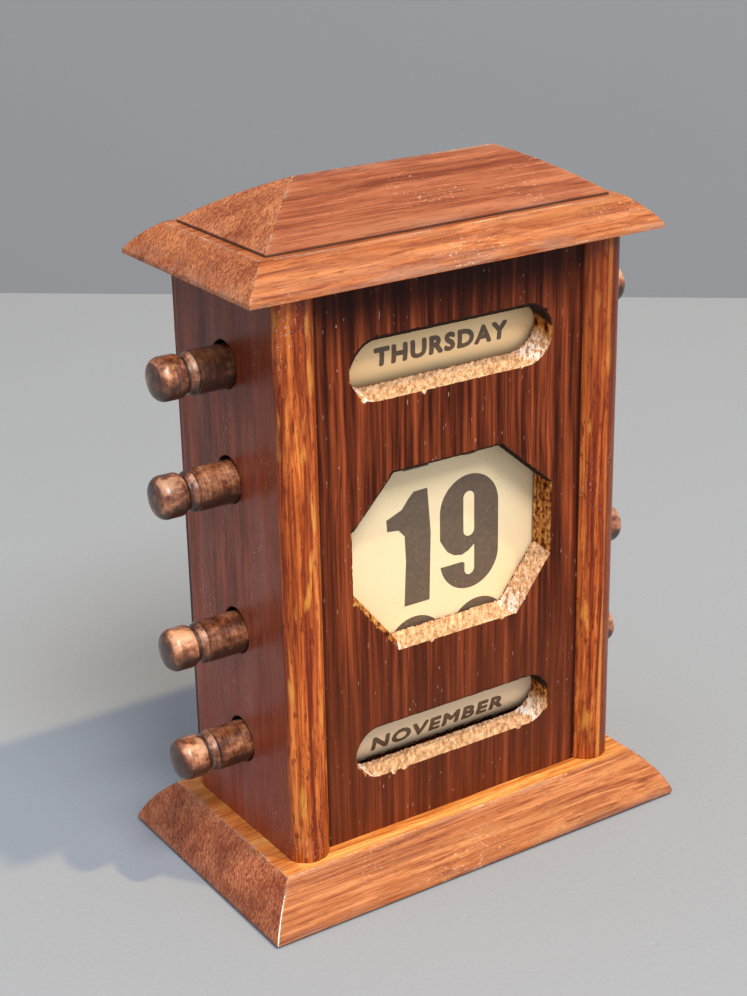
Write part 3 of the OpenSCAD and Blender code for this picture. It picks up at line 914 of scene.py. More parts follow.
def moulded_rings(low, high, run_x, run_y, lip, bulge):
    """Rings of points from the middle of the underside, up the moulded edge, to the middle of the top."""
    middle = (low + high) / 2
    half = (high - low) / 2
    thick = high.z - low.z
    shares = []
    for side in (half.x, half.y):
        lengths = spaced(2 * side, fine=0.3 * MM, coarse=0.85 * MM, margin=2.4 * MM)
        shares.append([length / lengths[-1] for length in lengths])

    def ring(half_x, half_y, z, corner=0.0):
        outline = worn_rectangle(half_x, half_y, *shares, corner)
        return [(middle.x + x, middle.y + y, z) for x, y in outline]

    under = [ring(half.x - step, half.y - step, low.z) for step in (half.y, 4 * MM, 0.8 * MM, 0.2 * MM)]
    steps = spaced(math.hypot(run_x, thick), fine=0.3 * MM, coarse=0.8 * MM, margin=1.2 * MM)
    edge = []
    for inset, height in bevel_curve(run_x, lip, thick, bulge, steps):
        corner = bpy.context.scene.calendar.shape.mitre_round * (1.0 if inset < 0.98 else 0.4)
        edge.append(ring(half.x - run_x * inset, half.y - run_y * inset, low.z + height, corner))
    flat = half.y - run_y
    top_steps = [0.5 * MM, 1.5 * MM, 4 * MM] if flat > 6 * MM else []
    top = [ring(half.x - run_x - step, max(0.0, flat - step), high.z) for step in [*top_steps, flat]]
    return under + edge + top


def moulded_board(name, low, high, run_x, run_y, lip, bulge, seed, chips, mitre_wear, worn_band, seam=0.0):
    """Board with a moulded, mitred edge all round. Its arrises are worn, chipped and marked.

    The lower edge is scuffed up to about worn_band; a seam is a dark joint line of that height under it.
    """
    middle = (low + high) / 2
    half = (high - low) / 2
    thick = high.z - low.z
    build = bmesh.new()
    stitch(build, moulded_rings(low, high, run_x, run_y, lip, bulge))
    piece = object_from(name, build)

    def mitre_distance(point):
        share = min(1.0, max(0.0, (point.z - low.z - lip) / (thick - lip)))
        to_x = half.x - run_x * share - abs(point.x - middle.x)
        to_y = half.y - run_y * share - abs(point.y - middle.y)
        return abs(to_x - to_y), max(0.0, min(to_x, to_y))

    def arris(point):
        along, inside = mitre_distance(point)
        lower = math.exp(-(point.z - low.z) / worn_band)
        upper = math.exp(-abs(high.z - point.z) / (0.35 * MM)) * math.exp(-inside / (0.5 * MM))
        corner = math.exp(-along / (0.55 * MM)) * math.exp(-inside / (1.0 * MM))
        return max(lower if point.z > low.z + 1e-6 else 0.0, upper, corner)

    def bare(point):
        along, inside = mitre_distance(point)
        if inside > 1.2 * MM or point.x > middle.x or point.y > middle.y:
            return 0.0
        patch = 0.5 + 0.5 * rough((0, 0, point.z), 0.22, seed)
        level = (point.z - low.z) / thick
        return mitre_wear * patch * math.exp(-along / (0.3 * MM)) * (1.6 if level < 0.35 else 1.0)

    paint(piece, "arris", arris)
    paint(piece, "bare", bare)
    paint(piece, "seam", lambda point: seam > 0 and point.z - low.z < seam)
    for vertex, edge in zip(piece.data.vertices, piece.data.attributes["arris"].data):
        point = vertex.co
        dent = max(0.0, rough(point, 0.45, seed) - 0.2) * chips * edge.value ** 2
        uneven = 0.035 * MM * rough(point, 0.06, seed + 4)
        outward = Vector((point.x - middle.x, point.y - middle.y, 0))
        if low.z + 1e-6 < point.z < high.z - 1e-6:
            vertex.co = point - outward.normalized() * (dent + 0.035 * MM + uneven)
    return piece


# ---------------------------------------------------------------- side boards


def plan_of_side(shape):
    """Plan of the right-hand side board, counter-clockwise, with eased arrises."""
    inner, outer = SIDE_LOW.x, SIDE_HIGH.x
    nose, back = SIDE_LOW.y, SIDE_HIGH.y
    front = nose + shape.nose_depth
    width = outer - inner
    radius = (width * width / 4 + shape.nose_depth ** 2) / (2 * shape.nose_depth)
    half_turn = math.asin(width / 2 / radius)
    centre = Vector(((inner + outer) / 2, nose + radius))
    points = [(centre.x + radius * math.sin(turn), centre.y - radius * math.cos(turn))
              for turn in evenly(-half_turn, half_turn, 32)]
    ease = shape.arris_round
    points[0] = (inner, front - 0.02 * MM)
    outer_face = [front + (back - front) * share for share in (0.01, 0.04, 0.2, 0.4, 0.6, 0.8, 0.97)]
    points += [(outer, y) for y in outer_face]
    points += [(outer, back - ease), (outer - 0.3 * ease, back - 0.3 * ease), (outer - ease, back)]
    points += [(inner + ease, back), (inner, back - ease)]
    groove_end, groove_back = PANEL_HIGH.x, PANEL_HIGH.y
    points += [(inner, groove_back), (groove_end, groove_back), (groove_end, front), (inner, front)]
    return points


def side_board(name, side, heights, node):
    """Side board with its bull nose, panel groove and knob holes."""
    shape = bpy.context.scene.calendar.shape
    plan = plan_of_side(shape)
    ease = 0.25 * MM
    levels = evenly(SIDE_LOW.z, SIDE_HIGH.z, 60)
    levels = [levels[0], levels[0] + ease, *levels[1:-1], levels[-1] - ease, levels[-1]]
    middle = Vector(((SIDE_LOW.x + SIDE_HIGH.x) / 2, (SIDE_LOW.y + SIDE_HIGH.y) / 2, 0))
    rings = []
    for level in levels:
        shrink = ease * 0.6 if level in (levels[0], levels[-1]) else 0.0
        ring = []
        for x, y in plan:
            if y < PANEL_LOW.y:
                x += math.copysign(shrink, middle.x - x)
                y += shrink
                y += 0.05 * MM * (1 + rough((x, y, level), 0.05, side * 3.0)) * (y < PANEL_LOW.y - 0.4 * MM)
            ring.append((side * x, y, level))
        rings.append(ring)
    build = bmesh.new()
    tube(build, rings)
    piece = object_from(name, build)
    radius, flare = shape.hole_radius, 1.1 * MM
    bore = ((SIDE_LOW.x - MM, radius), (SIDE_HIGH.x - 0.3 * MM, radius), (SIDE_HIGH.x + MM, radius + flare))
    cutters = []
    for height in heights:
        build = bmesh.new()
        centre = (0, height + shape.hole_rise)
        tube(build, [[(side * x, y, z) for y, z in circle(centre, radius, 56)] for x, radius in bore])
        cutters.append(object_from("cutter", build))
        change = piece.modifiers.new("hole", "BOOLEAN")
        change.object = cutters[-1]
        change.solver = "EXACT"
    evaluated_mesh(piece)
    for cutter in cutters:
        bpy.data.objects.remove(cutter)
    front = SIDE_LOW.y + shape.nose_depth

    def arris(point):
        outer = math.exp(-math.hypot(abs(point.x) - SIDE_HIGH.x, point.y - front) / (0.5 * MM))
        foot = math.exp(-(point.z - SIDE_LOW.z) / (0.5 * MM))
        return max(0.7 * outer, foot * 0.8)

    # Marks the inside of each knob hole, where the side board's material paints shade.
    def hole(point):
        away = [math.hypot(point.y, point.z - height - shape.hole_rise) for height in heights]
        return min(away) < shape.hole_radius + 0.1 * MM and SIDE_HIGH.x - abs(point.x) > 0.1 * MM

    paint(piece, "arris", arris)
    paint(piece, "hole", hole)
    return settle(piece, "Side oak", "housing", "dark_oak", node)


# ---------------------------------------------------------------- front panel


def slot_window(width, height, centre_z, spacing):
    """Outline of a window with round ends, with evenly spaced points, counter-clockwise."""
    radius = height / 2
    straight = width - height
    round_end = math.pi * radius
    total = 2 * (straight + round_end)
    count = round(total / spacing)
    points = []
    for distance in evenly(0.0, total, count)[:-1]:
        if distance < straight:
            points.append((-straight / 2 + distance, centre_z - radius))
        elif distance < straight + round_end:
            turn = (distance - straight) / radius - math.pi / 2
            points.append((straight / 2 + radius * math.cos(turn), centre_z + radius * math.sin(turn)))
        elif distance < 2 * straight + round_end:
            points.append((straight / 2 - (distance - straight - round_end), centre_z + radius))
        else:
            turn = (distance - 2 * straight - round_end) / radius + math.pi / 2
            points.append((-straight / 2 + radius * math.cos(turn), centre_z + radius * math.sin(turn)))
    return points


def octagon_window(width, height, corners, centre_z, spacing):
    """Outline of a rectangular window with corners cut by (width, height), counter-clockwise.

    The corners are given as upper left, upper right, lower right, lower left.
    """
    right, top = width / 2, height / 2
    upper_left, upper_right, lower_right, lower_left = corners
    places = [(-right + lower_left[0], -top), (right - lower_right[0], -top), (right, -top + lower_right[1]),
              (right, top - upper_right[1]), (right - upper_right[0], top), (-right + upper_left[0], top),
              (-right, top - upper_left[1]), (-right, -top + lower_left[1])]
    points = []
    for start, end in zip(places, places[1:] + places[:1]):
        count = round(math.dist(start, end) / spacing)
        for i in range(count):
            share = i / count
            points.append((start[0] + (end[0] - start[0]) * share,
                           centre_z + start[1] + (end[1] - start[1]) * share))
    return points


def outward_normals(outline):
    """Unit normals out of a counter-clockwise hole outline, into the wood."""
    normals = []
    for before, after in zip(outline[-1:] + outline[:-1], outline[1:] + outline[:1]):
        along = Vector((after[0] - before[0], after[1] - before[1])).normalized()
        normals.append(Vector((along.y, -along.x)))
    return normals


# Width and height of each cut corner: upper left, upper right, lower right, lower left
DATE_CORNERS = ((11.6 * MM, 12.3 * MM), (15 * MM, 13 * MM), (10.2 * MM, 13.3 * MM), (12.4 * MM, 15.5 * MM))


def windows(spacing):
    """Each window's outline, saw angle and width of the worn rim at its top and at its lower left."""
    weekday = slot_window(width=56.4 * MM, height=15.08 * MM, centre_z=129.05 * MM, spacing=spacing)
    date = octagon_window(width=57.2 * MM, height=45.3 * MM, corners=DATE_CORNERS, centre_z=81.35 * MM,
                          spacing=spacing)
    month = slot_window(width=57.6 * MM, height=13.4 * MM, centre_z=33.6 * MM, spacing=spacing)
    return ((weekday, math.radians(11), 1.5 * MM, 0.3 * MM),
            (date, math.radians(8), 0.8 * MM, 1.4 * MM),
            (month, math.radians(1.5), 0.35 * MM, 0.4 * MM))


def window_rings(outline, tilt, top_rim, low_rim, seed):
    """Rings of one sawn window from outside its front rim to its back rim, with marks (cut, light, torn).
    The mark light is painted shade by the way each wall faces.
    """
    shape = bpy.context.scene.calendar.shape
    normals = outward_normals(outline)
    front, thick = PANEL_LOW.y, PANEL_HIGH.y - PANEL_LOW.y
    foot = [x for (x, _), normal in zip(outline, normals) if normal.y < -0.9]
    foot_left, foot_right = min(foot), max(foot)
    near_front = [0.0, 0.0, 0.12 * MM, 0.3 * MM, 0.6 * MM, 1.0 * MM, 1.5 * MM]
    depths = near_front + evenly(2.0 * MM, thick, 9)
    rings, marks = [], []
    for number, depth in enumerate(depths):
        ring, mark = [], []
        for (x, z), normal in zip(outline, normals):
            sill, top = max(0.0, -normal.y), max(0.0, normal.y)
            corner = max(0.0, -normal.x) * sill * 2
            rim = max(top_rim * min(1.0, top * 1.6), low_rim * min(1.0, corner), 1e-9)
            curl = 1 - min(1.0, depth / rim)
            lip = rim * math.sqrt(1 - curl * curl)
            sunk = (x, depth, z)
            stray = shape.saw_rough * (rough(sunk, 0.9, seed) + 0.6 * rough(sunk, 2.2, seed + 3))
            chip = max(0.0, rough((x, 0, z), 0.55, seed + 8) - 0.3) * (0.3 + sill) * shape.chip_depth * 2
            if number == 0:
                out = 0.9 * MM + chip
            else:
                out = max(0.0, stray + shape.saw_rough * 0.5) + chip * max(0.0, 1 - depth / MM) - lip
            rise = math.tan(tilt) * depth
            ring.append((x + normal.x * out, front + depth, z + normal.y * out + rise))
            # Painted light and shade: high on sills facing up, low on walls facing down, lowered in the
            # lower left corners.
            light = min(1.0, max(0.0, 0.38 - 0.8 * normal.y)) * (1 - 0.5 * min(1.0, corner))
            past_right = x - foot_right
            near_end = max(math.exp(-abs(x - foot_left) / (1.8 * MM)),
                           math.exp(-max(past_right / (7 * MM), -past_right / (2.5 * MM))))
            cut = 0.0 if number == 0 else min(1.0, 0.4 + chip / (0.25 * MM)) if number == 1 else 1.0
            mark.append((cut, light, min(1.0, sill * 1.8) * near_end * 0.72))
        rings.append(ring)
        marks.append(mark)
    return rings, marks


def sawn_panel(name):
    """Front panel with three rough-sawn windows."""
    build = bmesh.new()
    layers = [build.verts.layers.float.new(key) for key in ("cut", "light", "torn")]
    fronts, backs = [], []
    for number, window in enumerate(windows(0.34 * MM)):
        rings, marks = window_rings(*window, 5.0 + 13 * number)
        made = stitch(build, rings)
        for ring, mark in zip(made, marks):
            for vertex, values in zip(ring, mark):
                for layer, value in zip(layers, values):
                    vertex[layer] = value
        fronts.append([(vertex.co.x, vertex.co.z) for vertex in made[0]])
        backs.append([(vertex.co.x, vertex.co.z) for vertex in made[-1]])
    left, right, low, high = PANEL_LOW.x, PANEL_HIGH.x, PANEL_LOW.z, PANEL_HIGH.z
    rows = evenly(low, high, 40)
    edge = [(left, z) for z in reversed(rows)] + [(right, z) for z in rows]
    pierced_face(build, PANEL_LOW.y, edge, fronts)
    pierced_face(build, PANEL_HIGH.y, edge, backs)
    stitch(build, [[(x, PANEL_LOW.y, z) for x, z in edge], [(x, PANEL_HIGH.y, z) for x, z in edge]])
    piece = object_from(name, build)
    return settle(piece, "Panel oak", "housing", "dark_oak", "front_panel")


def end_tree(geometry, material, leave):
    """Ends a Geometry Nodes tree with realised instances and their material."""
    real = wired(geometry.tree, "GeometryNodeRealizeInstances", {0: geometry})
    sockets = {"Geometry": real, "Material": material}
    feed(leave.inputs[0], wired(geometry.tree, "GeometryNodeSetMaterial", sockets))


def splinter_tree():
    """Geometry Nodes: short pointed fibres standing at random along a torn edge."""
    tree, given, leave = new_group("Torn Fibres", "GeometryNodeTree", {
        "Geometry": "Geometry", "Spacing": 0.6 * MM, "Length": 0.7 * MM, "Thickness": 0.09 * MM,
        "Seed": 4, "Finish": "Material"}, {"Geometry": "Geometry"})

    def drawn(low, high):
        """A vector drawn for each point between two others."""
        sockets = {0: low, 1: high, "Seed": given["Seed"]}
        return wired(tree, "FunctionNodeRandomValue", sockets, data_type="FLOAT_VECTOR")

    path = wired(tree, "GeometryNodeMeshToCurve", {0: given["Geometry"]})
    points = wired(tree, "GeometryNodeResampleCurve", {"Curve": path, "Length": given["Spacing"]},
                   mode="LENGTH")
    moved = wired(tree, "GeometryNodeSetPosition", {
        "Geometry": points,
        "Offset": drawn((-0.35 * MM, -0.1 * MM, -0.45 * MM), (0.35 * MM, 0.7 * MM, -0.15 * MM))})
    cone = wired(tree, "GeometryNodeMeshCone", {
        "Vertices": 5, "Radius Top": 0.0, "Radius Bottom": given["Thickness"], "Depth": given["Length"]},
        fill_type="NGON")
    size = wired(tree, "FunctionNodeRandomValue", {2: 0.35, 3: 1.25, "Seed": given["Seed"]}, 1,
                 data_type="FLOAT")
    stood = wired(tree, "GeometryNodeInstanceOnPoints", {
        "Points": moved, "Instance": cone, "Rotation": drawn((-0.75, -1.1, 0.0), (0.9, 1.1, 6.2)),
        "Scale": size})
    end_tree(stood, given["Finish"], leave)
    return tree


def run_tree(piece, tree, **values):
    """Runs a Geometry Nodes tree on an object and keeps the result as a plain mesh."""
    change = piece.modifiers.new(tree.name, "NODES")
    change.node_group = tree
    names = {item.name: item.identifier for item in tree.interface.items_tree if item.in_out == "INPUT"}
    for key, value in values.items():
        change[names[key.replace("_", " ")]] = value
    return evaluated_mesh(piece)


def torn_sills(name):
    """Fibres torn up along the lower front edges of the windows."""
    build = bmesh.new()
    for outline, _, _, _ in windows(0.38 * MM):
        previous = None
        for (x, z), normal in zip(outline, outward_normals(outline)):
            if normal.y > -0.55 or normal.x < -0.3:
                previous = None
                continue
            vertex = build.verts.new((x, PANEL_LOW.y + 0.35 * MM, z))
            if previous is not None:
                build.edges.new((previous, vertex))
            previous = vertex
    piece = object_from(name, build)
    material = finish("Torn fibre")
    run_tree(piece, splinter_tree(), Spacing=0.8 * MM, Length=0.5 * MM, Thickness=0.07 * MM, Seed=11,
             Finish=material)
    piece.data.materials.clear()
    piece.data.materials.append(material)
    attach(piece, "housing")
    return piece


def eased_back(name):
    """Back panel: a flat board with eased edges and six countersunk screw holes."""
    low, high = BACK_LOW, BACK_HIGH
    ease = 0.4 * MM
    screw_low, screw_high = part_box("back_screws")
    head = 2.95 * MM
    xs = [screw_low.x + head, screw_high.x - head]
    zs = [screw_low.z + head, (screw_low.z + screw_high.z) / 2, screw_high.z - head]
    holes = [(x, z) for x in xs for z in zs]

    def outline(inset):
        rows = evenly(low.z + inset, high.z - inset, 30)
        return [(low.x + inset, z) for z in reversed(rows)] + [(high.x - inset, z) for z in rows]

    build = bmesh.new()
    levels = ((low.y, ease), (low.y + ease, 0.0), (high.y - ease, 0.0), (high.y - 0.3 * ease, 0.3 * ease),
              (high.y, ease))
    stitch(build, [[(x, y, z) for x, z in outline(inset)] for y, inset in levels])
    bore = 1.55 * MM
    sink = 1.8 * MM
    steps = ((low.y, bore), (high.y - sink, bore), (high.y - 0.25 * MM, head), (high.y, head + 0.12 * MM))
    for centre in holes:
        stitch(build, [[(x, y, z) for x, z in circle(centre, radius, 40)] for y, radius in steps])
    for y, radius in (steps[0], steps[-1]):
        pierced_face(build, y, outline(ease), [circle(centre, radius, 40) for centre in holes])
    return settle(object_from(name, build), "Back oak", "housing", "stained_oak", "back_panel")


def cut_baize(name):
    """Thin baize with a slightly wavy scissor-cut edge."""
    low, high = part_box("baize_pad")
    half = (high - low) / 2
    middle = (low + high) / 2
    shares_x = [i / 90 for i in range(90)]
    shares_y = [i / 52 for i in range(52)]
    rings = []
    for inset, height in ((3 * MM, 0), (0.15 * MM, 0), (0, 0.15 * MM), (0, 0.65 * MM), (0.2 * MM, high.z),
                          (3 * MM, high.z)):
        outline = worn_rectangle(half.x - inset, half.y - inset, shares_x, shares_y, 0.6 * MM)
        ring = []
        for x, y in outline:
            pull = 0.12 * MM * (1 + rough((x, y, 0), 0.35, 2.0))
            place_x = middle.x + x - math.copysign(pull, x)
            place_y = middle.y + y - math.copysign(pull, y)
            ring.append((place_x, place_y, height))
        rings.append(ring)
    build = bmesh.new()
    tube(build, rings)
    return settle(object_from(name, build), "Wool baize", "housing", "baize", "baize_pad")


# ---------------------------------------------------------------- knobs


def knob_tree():
    """Geometry Nodes: a turned knob along X, from its tenon to its domed tip."""
    tree, given, leave = new_group("Turned Knob", "GeometryNodeTree", {
        "Geometry": "Geometry", "Tenon Start": -20.8 * MM, "Shank Start": -10.8 * MM,
        "Ring Start": 8.4 * MM, "Collar Start": 8.7 * MM, "Collar End": 9.8 * MM, "Neck Start": 10.3 * MM,
        "Bulb Start": 10.8 * MM, "Back Round": 1.7 * MM, "Shoulder Start": 15.5 * MM,
        "Shoulder Round": 2.4 * MM, "Crown Round": 14 * MM, "Tip": 18.1 * MM,
        "Tenon Radius": 3.5 * MM, "Shank Radius": 5.05 * MM, "Ring Radius": 4.7 * MM,
        "Collar Radius": 4.6 * MM, "Neck Radius": 4.1 * MM, "Bulb Radius": 5.1 * MM,
        "Set": 0.0, "Face": 47.5 * MM, "Side": 1.0, "Height": 0.0, "Wobble": 0.02,
        "Rings": 200, "Segments": 56, "Finish": "Material"}, {"Geometry": "Geometry"})
    names = ("Tenon", "Shank", "Ring", "Collar", "Neck", "Bulb")
    tenon_start, shank_start, ring_start, collar_start, neck_start, bulb_start = (
        given[f"{name} Start"] for name in names)
    tenon_radius, shank_radius, ring_radius, collar_radius, neck_radius, bulb_radius = (
        given[f"{name} Radius"] for name in names)
    collar_end, back_round, crown_round = given["Collar End"], given["Back Round"], given["Crown Round"]
    shoulder_start, shoulder_round = given["Shoulder Start"], given["Shoulder Round"]
    tip, seat, side, height = given["Tip"], given["Set"], given["Side"], given["Height"]

    def between(value, low, high):
        """1 from low up to high, 0 elsewhere."""
        return (value > low) * (value < high)

    def arc(radius, away):
        """Half the chord of a circle at that distance from its middle."""
        return (radius * radius - away * away).math("MAXIMUM", 0.0).math("SQRT")

    def cone(start, end, start_radius, end_radius):
        """Radius of a straight taper between two places, carried on beyond them."""
        return (drawn - start) * ((end_radius - start_radius) / (end - start)) + start_radius

    sheet = wired(tree, "GeometryNodeMeshGrid", {
        "Size X": 1.0, "Size Y": 1.0, "Vertices X": given["Rings"], "Vertices Y": given["Segments"] + 1.0})
    across, around, _ = split(wired(tree, "GeometryNodeInputPosition"))
    step = 1.0 / (given["Rings"] - 2.0)
    along = (across + 0.5) * (step + 1.0) - step
    inside = along > step * -0.5
    eased = (along.math("MAXIMUM", 0.0) * (math.pi / 2)).math("SINE")
    out = eased * (tip + seat - tenon_start) + tenon_start
    drawn = out - seat
    turn = (around + 0.5) * math.tau
    sine, cosine = turn.math("SINE"), turn.math("COSINE")

    in_bulb = bulb_start + back_round
    tenon = tenon_radius * (out < shank_start)
    shank = shank_radius * ((out > shank_start) * (drawn < ring_start))
    in_ring = between(drawn, ring_start, collar_start)
    flare = cone(collar_start, collar_end, shank_radius, collar_radius)
    taper = cone(collar_end, neck_start, collar_radius, neck_radius)
    collar = flare.math("MINIMUM", taper) * between(drawn, collar_start, neck_start)
    neck = neck_radius * between(drawn, ring_start, in_bulb)
    back = bulb_radius - back_round + arc(back_round, (drawn - in_bulb).math("MINIMUM", 0.0))
    past_shoulder = (drawn - shoulder_start).math("MAXIMUM", 0.0)
    shoulder = bulb_radius - shoulder_round + arc(shoulder_round, past_shoulder)
    crown = arc(crown_round, drawn - (tip - crown_round))
    bulb = back.math("MINIMUM", shoulder).math("MINIMUM", crown) * (drawn > bulb_start)
    radius = tenon
    for part in (shank, ring_radius * in_ring, collar, neck, bulb):
        radius = radius.math("MAXIMUM", part)

    ripple_at = wired(tree, "ShaderNodeCombineXYZ", {
        0: out * 160.0 + side * 9.0, 1: cosine * 0.5 + height * 300.0, 2: sine * 0.5})
    ripple = wired(tree, "ShaderNodeTexNoise", {"Vector": ripple_at, "Scale": 1.0, "Detail": 1.0})
    past_collar = drawn > collar_start
    radius = radius * inside * ((ripple - 0.7) * (given["Wobble"] * past_collar) + 1.0)
    moved = wired(tree, "ShaderNodeCombineXYZ", {
        0: side * (given["Face"] + out), 1: radius * cosine, 2: radius * sine + height})
    in_groove = between(drawn, neck_start, in_bulb - back_round * 0.6)
    marked = sheet
    for key, value in (("groove", (in_ring * 0.3).math("MAXIMUM", in_groove)), ("held", past_collar)):
        marked = wired(tree, "GeometryNodeStoreNamedAttribute", {
            "Geometry": marked, "Name": key, "Value": value}, domain="POINT", data_type="FLOAT")
    shaped = wired(tree, "GeometryNodeSetPosition", {"Geometry": marked, "Position": moved})
    closed = wired(tree, "GeometryNodeMergeByDistance", {"Geometry": shaped, "Distance": 1e-6})
    end_tree(closed, given["Finish"], leave)
    return tree


def turned_knob(name, tree, side, height, body, node):
    """One knob with its shank, made by the knob tree as far out as its CAD node stands."""
    shape = bpy.context.scene.calendar.shape
    low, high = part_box(node)
    tip = max(abs(low.x), abs(high.x))
    piece = object_from(name, bmesh.new())
    run_tree(piece, tree, Side=float(side), Height=height, Face=SIDE_HIGH.x, Shank_Radius=shape.shank_radius,
             Neck_Radius=shape.neck_radius, Bulb_Radius=shape.bulb_radius, Tip=shape.knob_reach,
             Set=tip - SIDE_HIGH.x - shape.knob_reach, Finish=finish("Polished knob"))
    face_outward(piece)
    return settle(piece, "Polished knob", body, "turned_knob", node)


def face_outward(piece):
    """Merges doubles and turns every face of a closed mesh outward."""
    build = bmesh.new()
    build.from_mesh(piece.data)
    bmesh.ops.remove_doubles(build, verts=build.verts, dist=1e-7)
    bmesh.ops.recalc_face_normals(build, faces=build.faces)
    build.to_mesh(piece.data)
    build.free()


# ---------------------------------------------------------------- paper and print


def paper_relief(x, z):
    """How far the old paper stands off its flat plane, towards the front."""
    return 0.05 * MM * rough((x, 0, z), 0.045, 6.0) + 0.015 * MM * rough((x, 0, z), 0.2, 2.0)


def paper_coil(name, material, node, body, turns, sheet, core):
    """Paper wound round a roller from radius core outward, with a loose butt end at the back."""
    low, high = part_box(node)
    middle_z = (low.z + high.z) / 2
    outer = (high.z - low.z) / 2
    growth = (outer - core - sheet) / turns if turns > 1 else 0.0
    count = round(96 * turns)
    sweep = math.tau * turns - (0.03 if turns <= 1 else 0.0)
    xs = evenly(low.x, high.x, 24)
    rings = []
    for step in range(count + 1):
        turn = math.pi / 2 + sweep * step / count
        inner = core + growth * sweep * step / count / math.tau
        skin = [(x, inner + sheet - 0.012 * MM * (1 + rough((x, step / count, 0), 0.08, low.z * 100)))
                for x in xs]
        under = [(x, inner) for x in reversed(xs)]
        rings.append([(x, radius * math.cos(turn), middle_z + radius * math.sin(turn))
                      for x, radius in skin + under])
    build = bmesh.new()
    tube(build, rings)
    return settle(object_from(name, build), material, body, "printed_paper", node)


def flat_strip(name):
    """The flat run of the date paper between its two rollers, slightly wavy."""
    low, high = STRIP_LOW, STRIP_HIGH
    xs = evenly(low.x, high.x, 48)
    rings = []
    for z in evenly(low.z, high.z, 46):
        front = [(x, low.y - min(0.0, paper_relief(x, z)), z) for x in xs]
        back = [(x, high.y, z) for x in reversed(xs)]
        rings.append(front + back)
    build = bmesh.new()
    tube(build, rings)
    return settle(object_from(name, build), "Aged paper", "date_paper", "printed_paper", "date_strip")


WEEKDAYS = ("MONDAY", "TUESDAY", "WEDNESDAY", "THURSDAY", "FRIDAY", "SATURDAY", "SUNDAY")
MONTHS = ("JANUARY", "FEBRUARY", "MARCH", "APRIL", "MAY", "JUNE", "JULY", "AUGUST", "SEPTEMBER",
          "OCTOBER", "NOVEMBER", "DECEMBER")
INK_DEPTH = 0.05 * MM
NUMERAL_FIELD = (17.3, 29.6)  # width and height in the units of numeral_shapes


def flat_word(text, width, cap, middle, boldness):
    """Filled outlines of a bold word about height 0, stretched to width and cap height: (points, faces)."""
    curve = bpy.data.curves.new("word", "FONT")
    curve.body = text
    curve.resolution_u = 3
    curve.space_character = 1.16
    letters = linked("word", curve)
    bpy.context.view_layer.update()
    mesh = bpy.data.meshes.new_from_object(letters.evaluated_get(bpy.context.evaluated_depsgraph_get()))
    xs = [vertex.co.x for vertex in mesh.vertices]
    ys = [vertex.co.y for vertex in mesh.vertices]
    grow = boldness / MM
    scale_x = (width / MM - 2 * grow) / (max(xs) - min(xs))
    scale_y = (cap / MM - 2 * grow) / (max(ys) - min(ys))
    mid_x, mid_y = (max(xs) + min(xs)) / 2, (max(ys) + min(ys)) / 2
    spots, triangles = [], []
    copies = 8
    for copy in range(copies):
        turn = math.tau * copy / copies
        start = len(spots)
        spots += [Vector(((x - mid_x) * scale_x + grow * math.cos(turn),
                          (y - mid_y) * scale_y + grow * math.sin(turn))) for x, y in zip(xs, ys)]
        triangles += [[start + i for i in polygon.vertices] for polygon in mesh.polygons]
    bpy.data.objects.remove(letters)
    bpy.data.curves.remove(curve)
    bpy.data.meshes.remove(mesh)
    found = delaunay_2d_cdt(spots, [], triangles, 1, 1e-5)
    printed = BVHTree.FromPolygons([spot.to_3d() for spot in spots], triangles)
    down = Vector((0, 0, -1))
    flat = bmesh.new()
    made = [flat.verts.new((point.x, point.y, 0)) for point in found[0]]
    for face in found[2]:
        centre = sum((made[i].co for i in face), Vector()) / len(face)
        if printed.ray_cast(centre - down, down)[0]:
            flat.faces.new([made[i] for i in face])
    bmesh.ops.remove_doubles(flat, verts=flat.verts, dist=1e-4)
    bmesh.ops.dissolve_limit(flat, angle_limit=math.radians(2), verts=flat.verts, edges=flat.edges)
    bmesh.ops.triangulate(flat, faces=flat.faces)
    flat.verts.index_update()
    points = [(middle + vertex.co.x * MM, vertex.co.y * MM) for vertex in flat.verts]
    faces = {frozenset(vertex.index for vertex in face.verts): face for face in flat.faces}
    faces = [tuple(vertex.index for vertex in face.verts) for face in faces.values()]
    flat.free()
    return points, faces


def inked(build, points, faces, slices, lift):
    """Adds flat faces as a thin closed film; lift(x, z, depth) gives each point's place."""
    flat = bmesh.new()
    made = [flat.verts.new((x, 0, z)) for x, z in points]
    for face in faces:
        flat.faces.new([made[i] for i in face])
    bmesh.ops.remove_doubles(flat, verts=flat.verts, dist=1e-7)
    for level in slices:
        geometry = [*flat.verts, *flat.edges, *flat.faces]
        bmesh.ops.bisect_plane(flat, geom=geometry, plane_co=(0, 0, level), plane_no=(0, 0, 1), dist=1e-8)
    layers = []
    for depth in (0.0, INK_DEPTH):
        layers.append([build.verts.new(lift(v.co.x, v.co.z, depth)) for v in flat.verts])
    flat.verts.index_update()
    for face in flat.faces:
        order = [vertex.index for vertex in face.verts]
        build.faces.new([layers[1][i] for i in order])
        build.faces.new([layers[0][i] for i in reversed(order)])
    for edge in flat.edges:
        if edge.is_boundary:
            a, b = (vertex.index for vertex in edge.verts)
            build.faces.new((layers[0][a], layers[0][b], layers[1][b], layers[1][a]))
    flat.free()


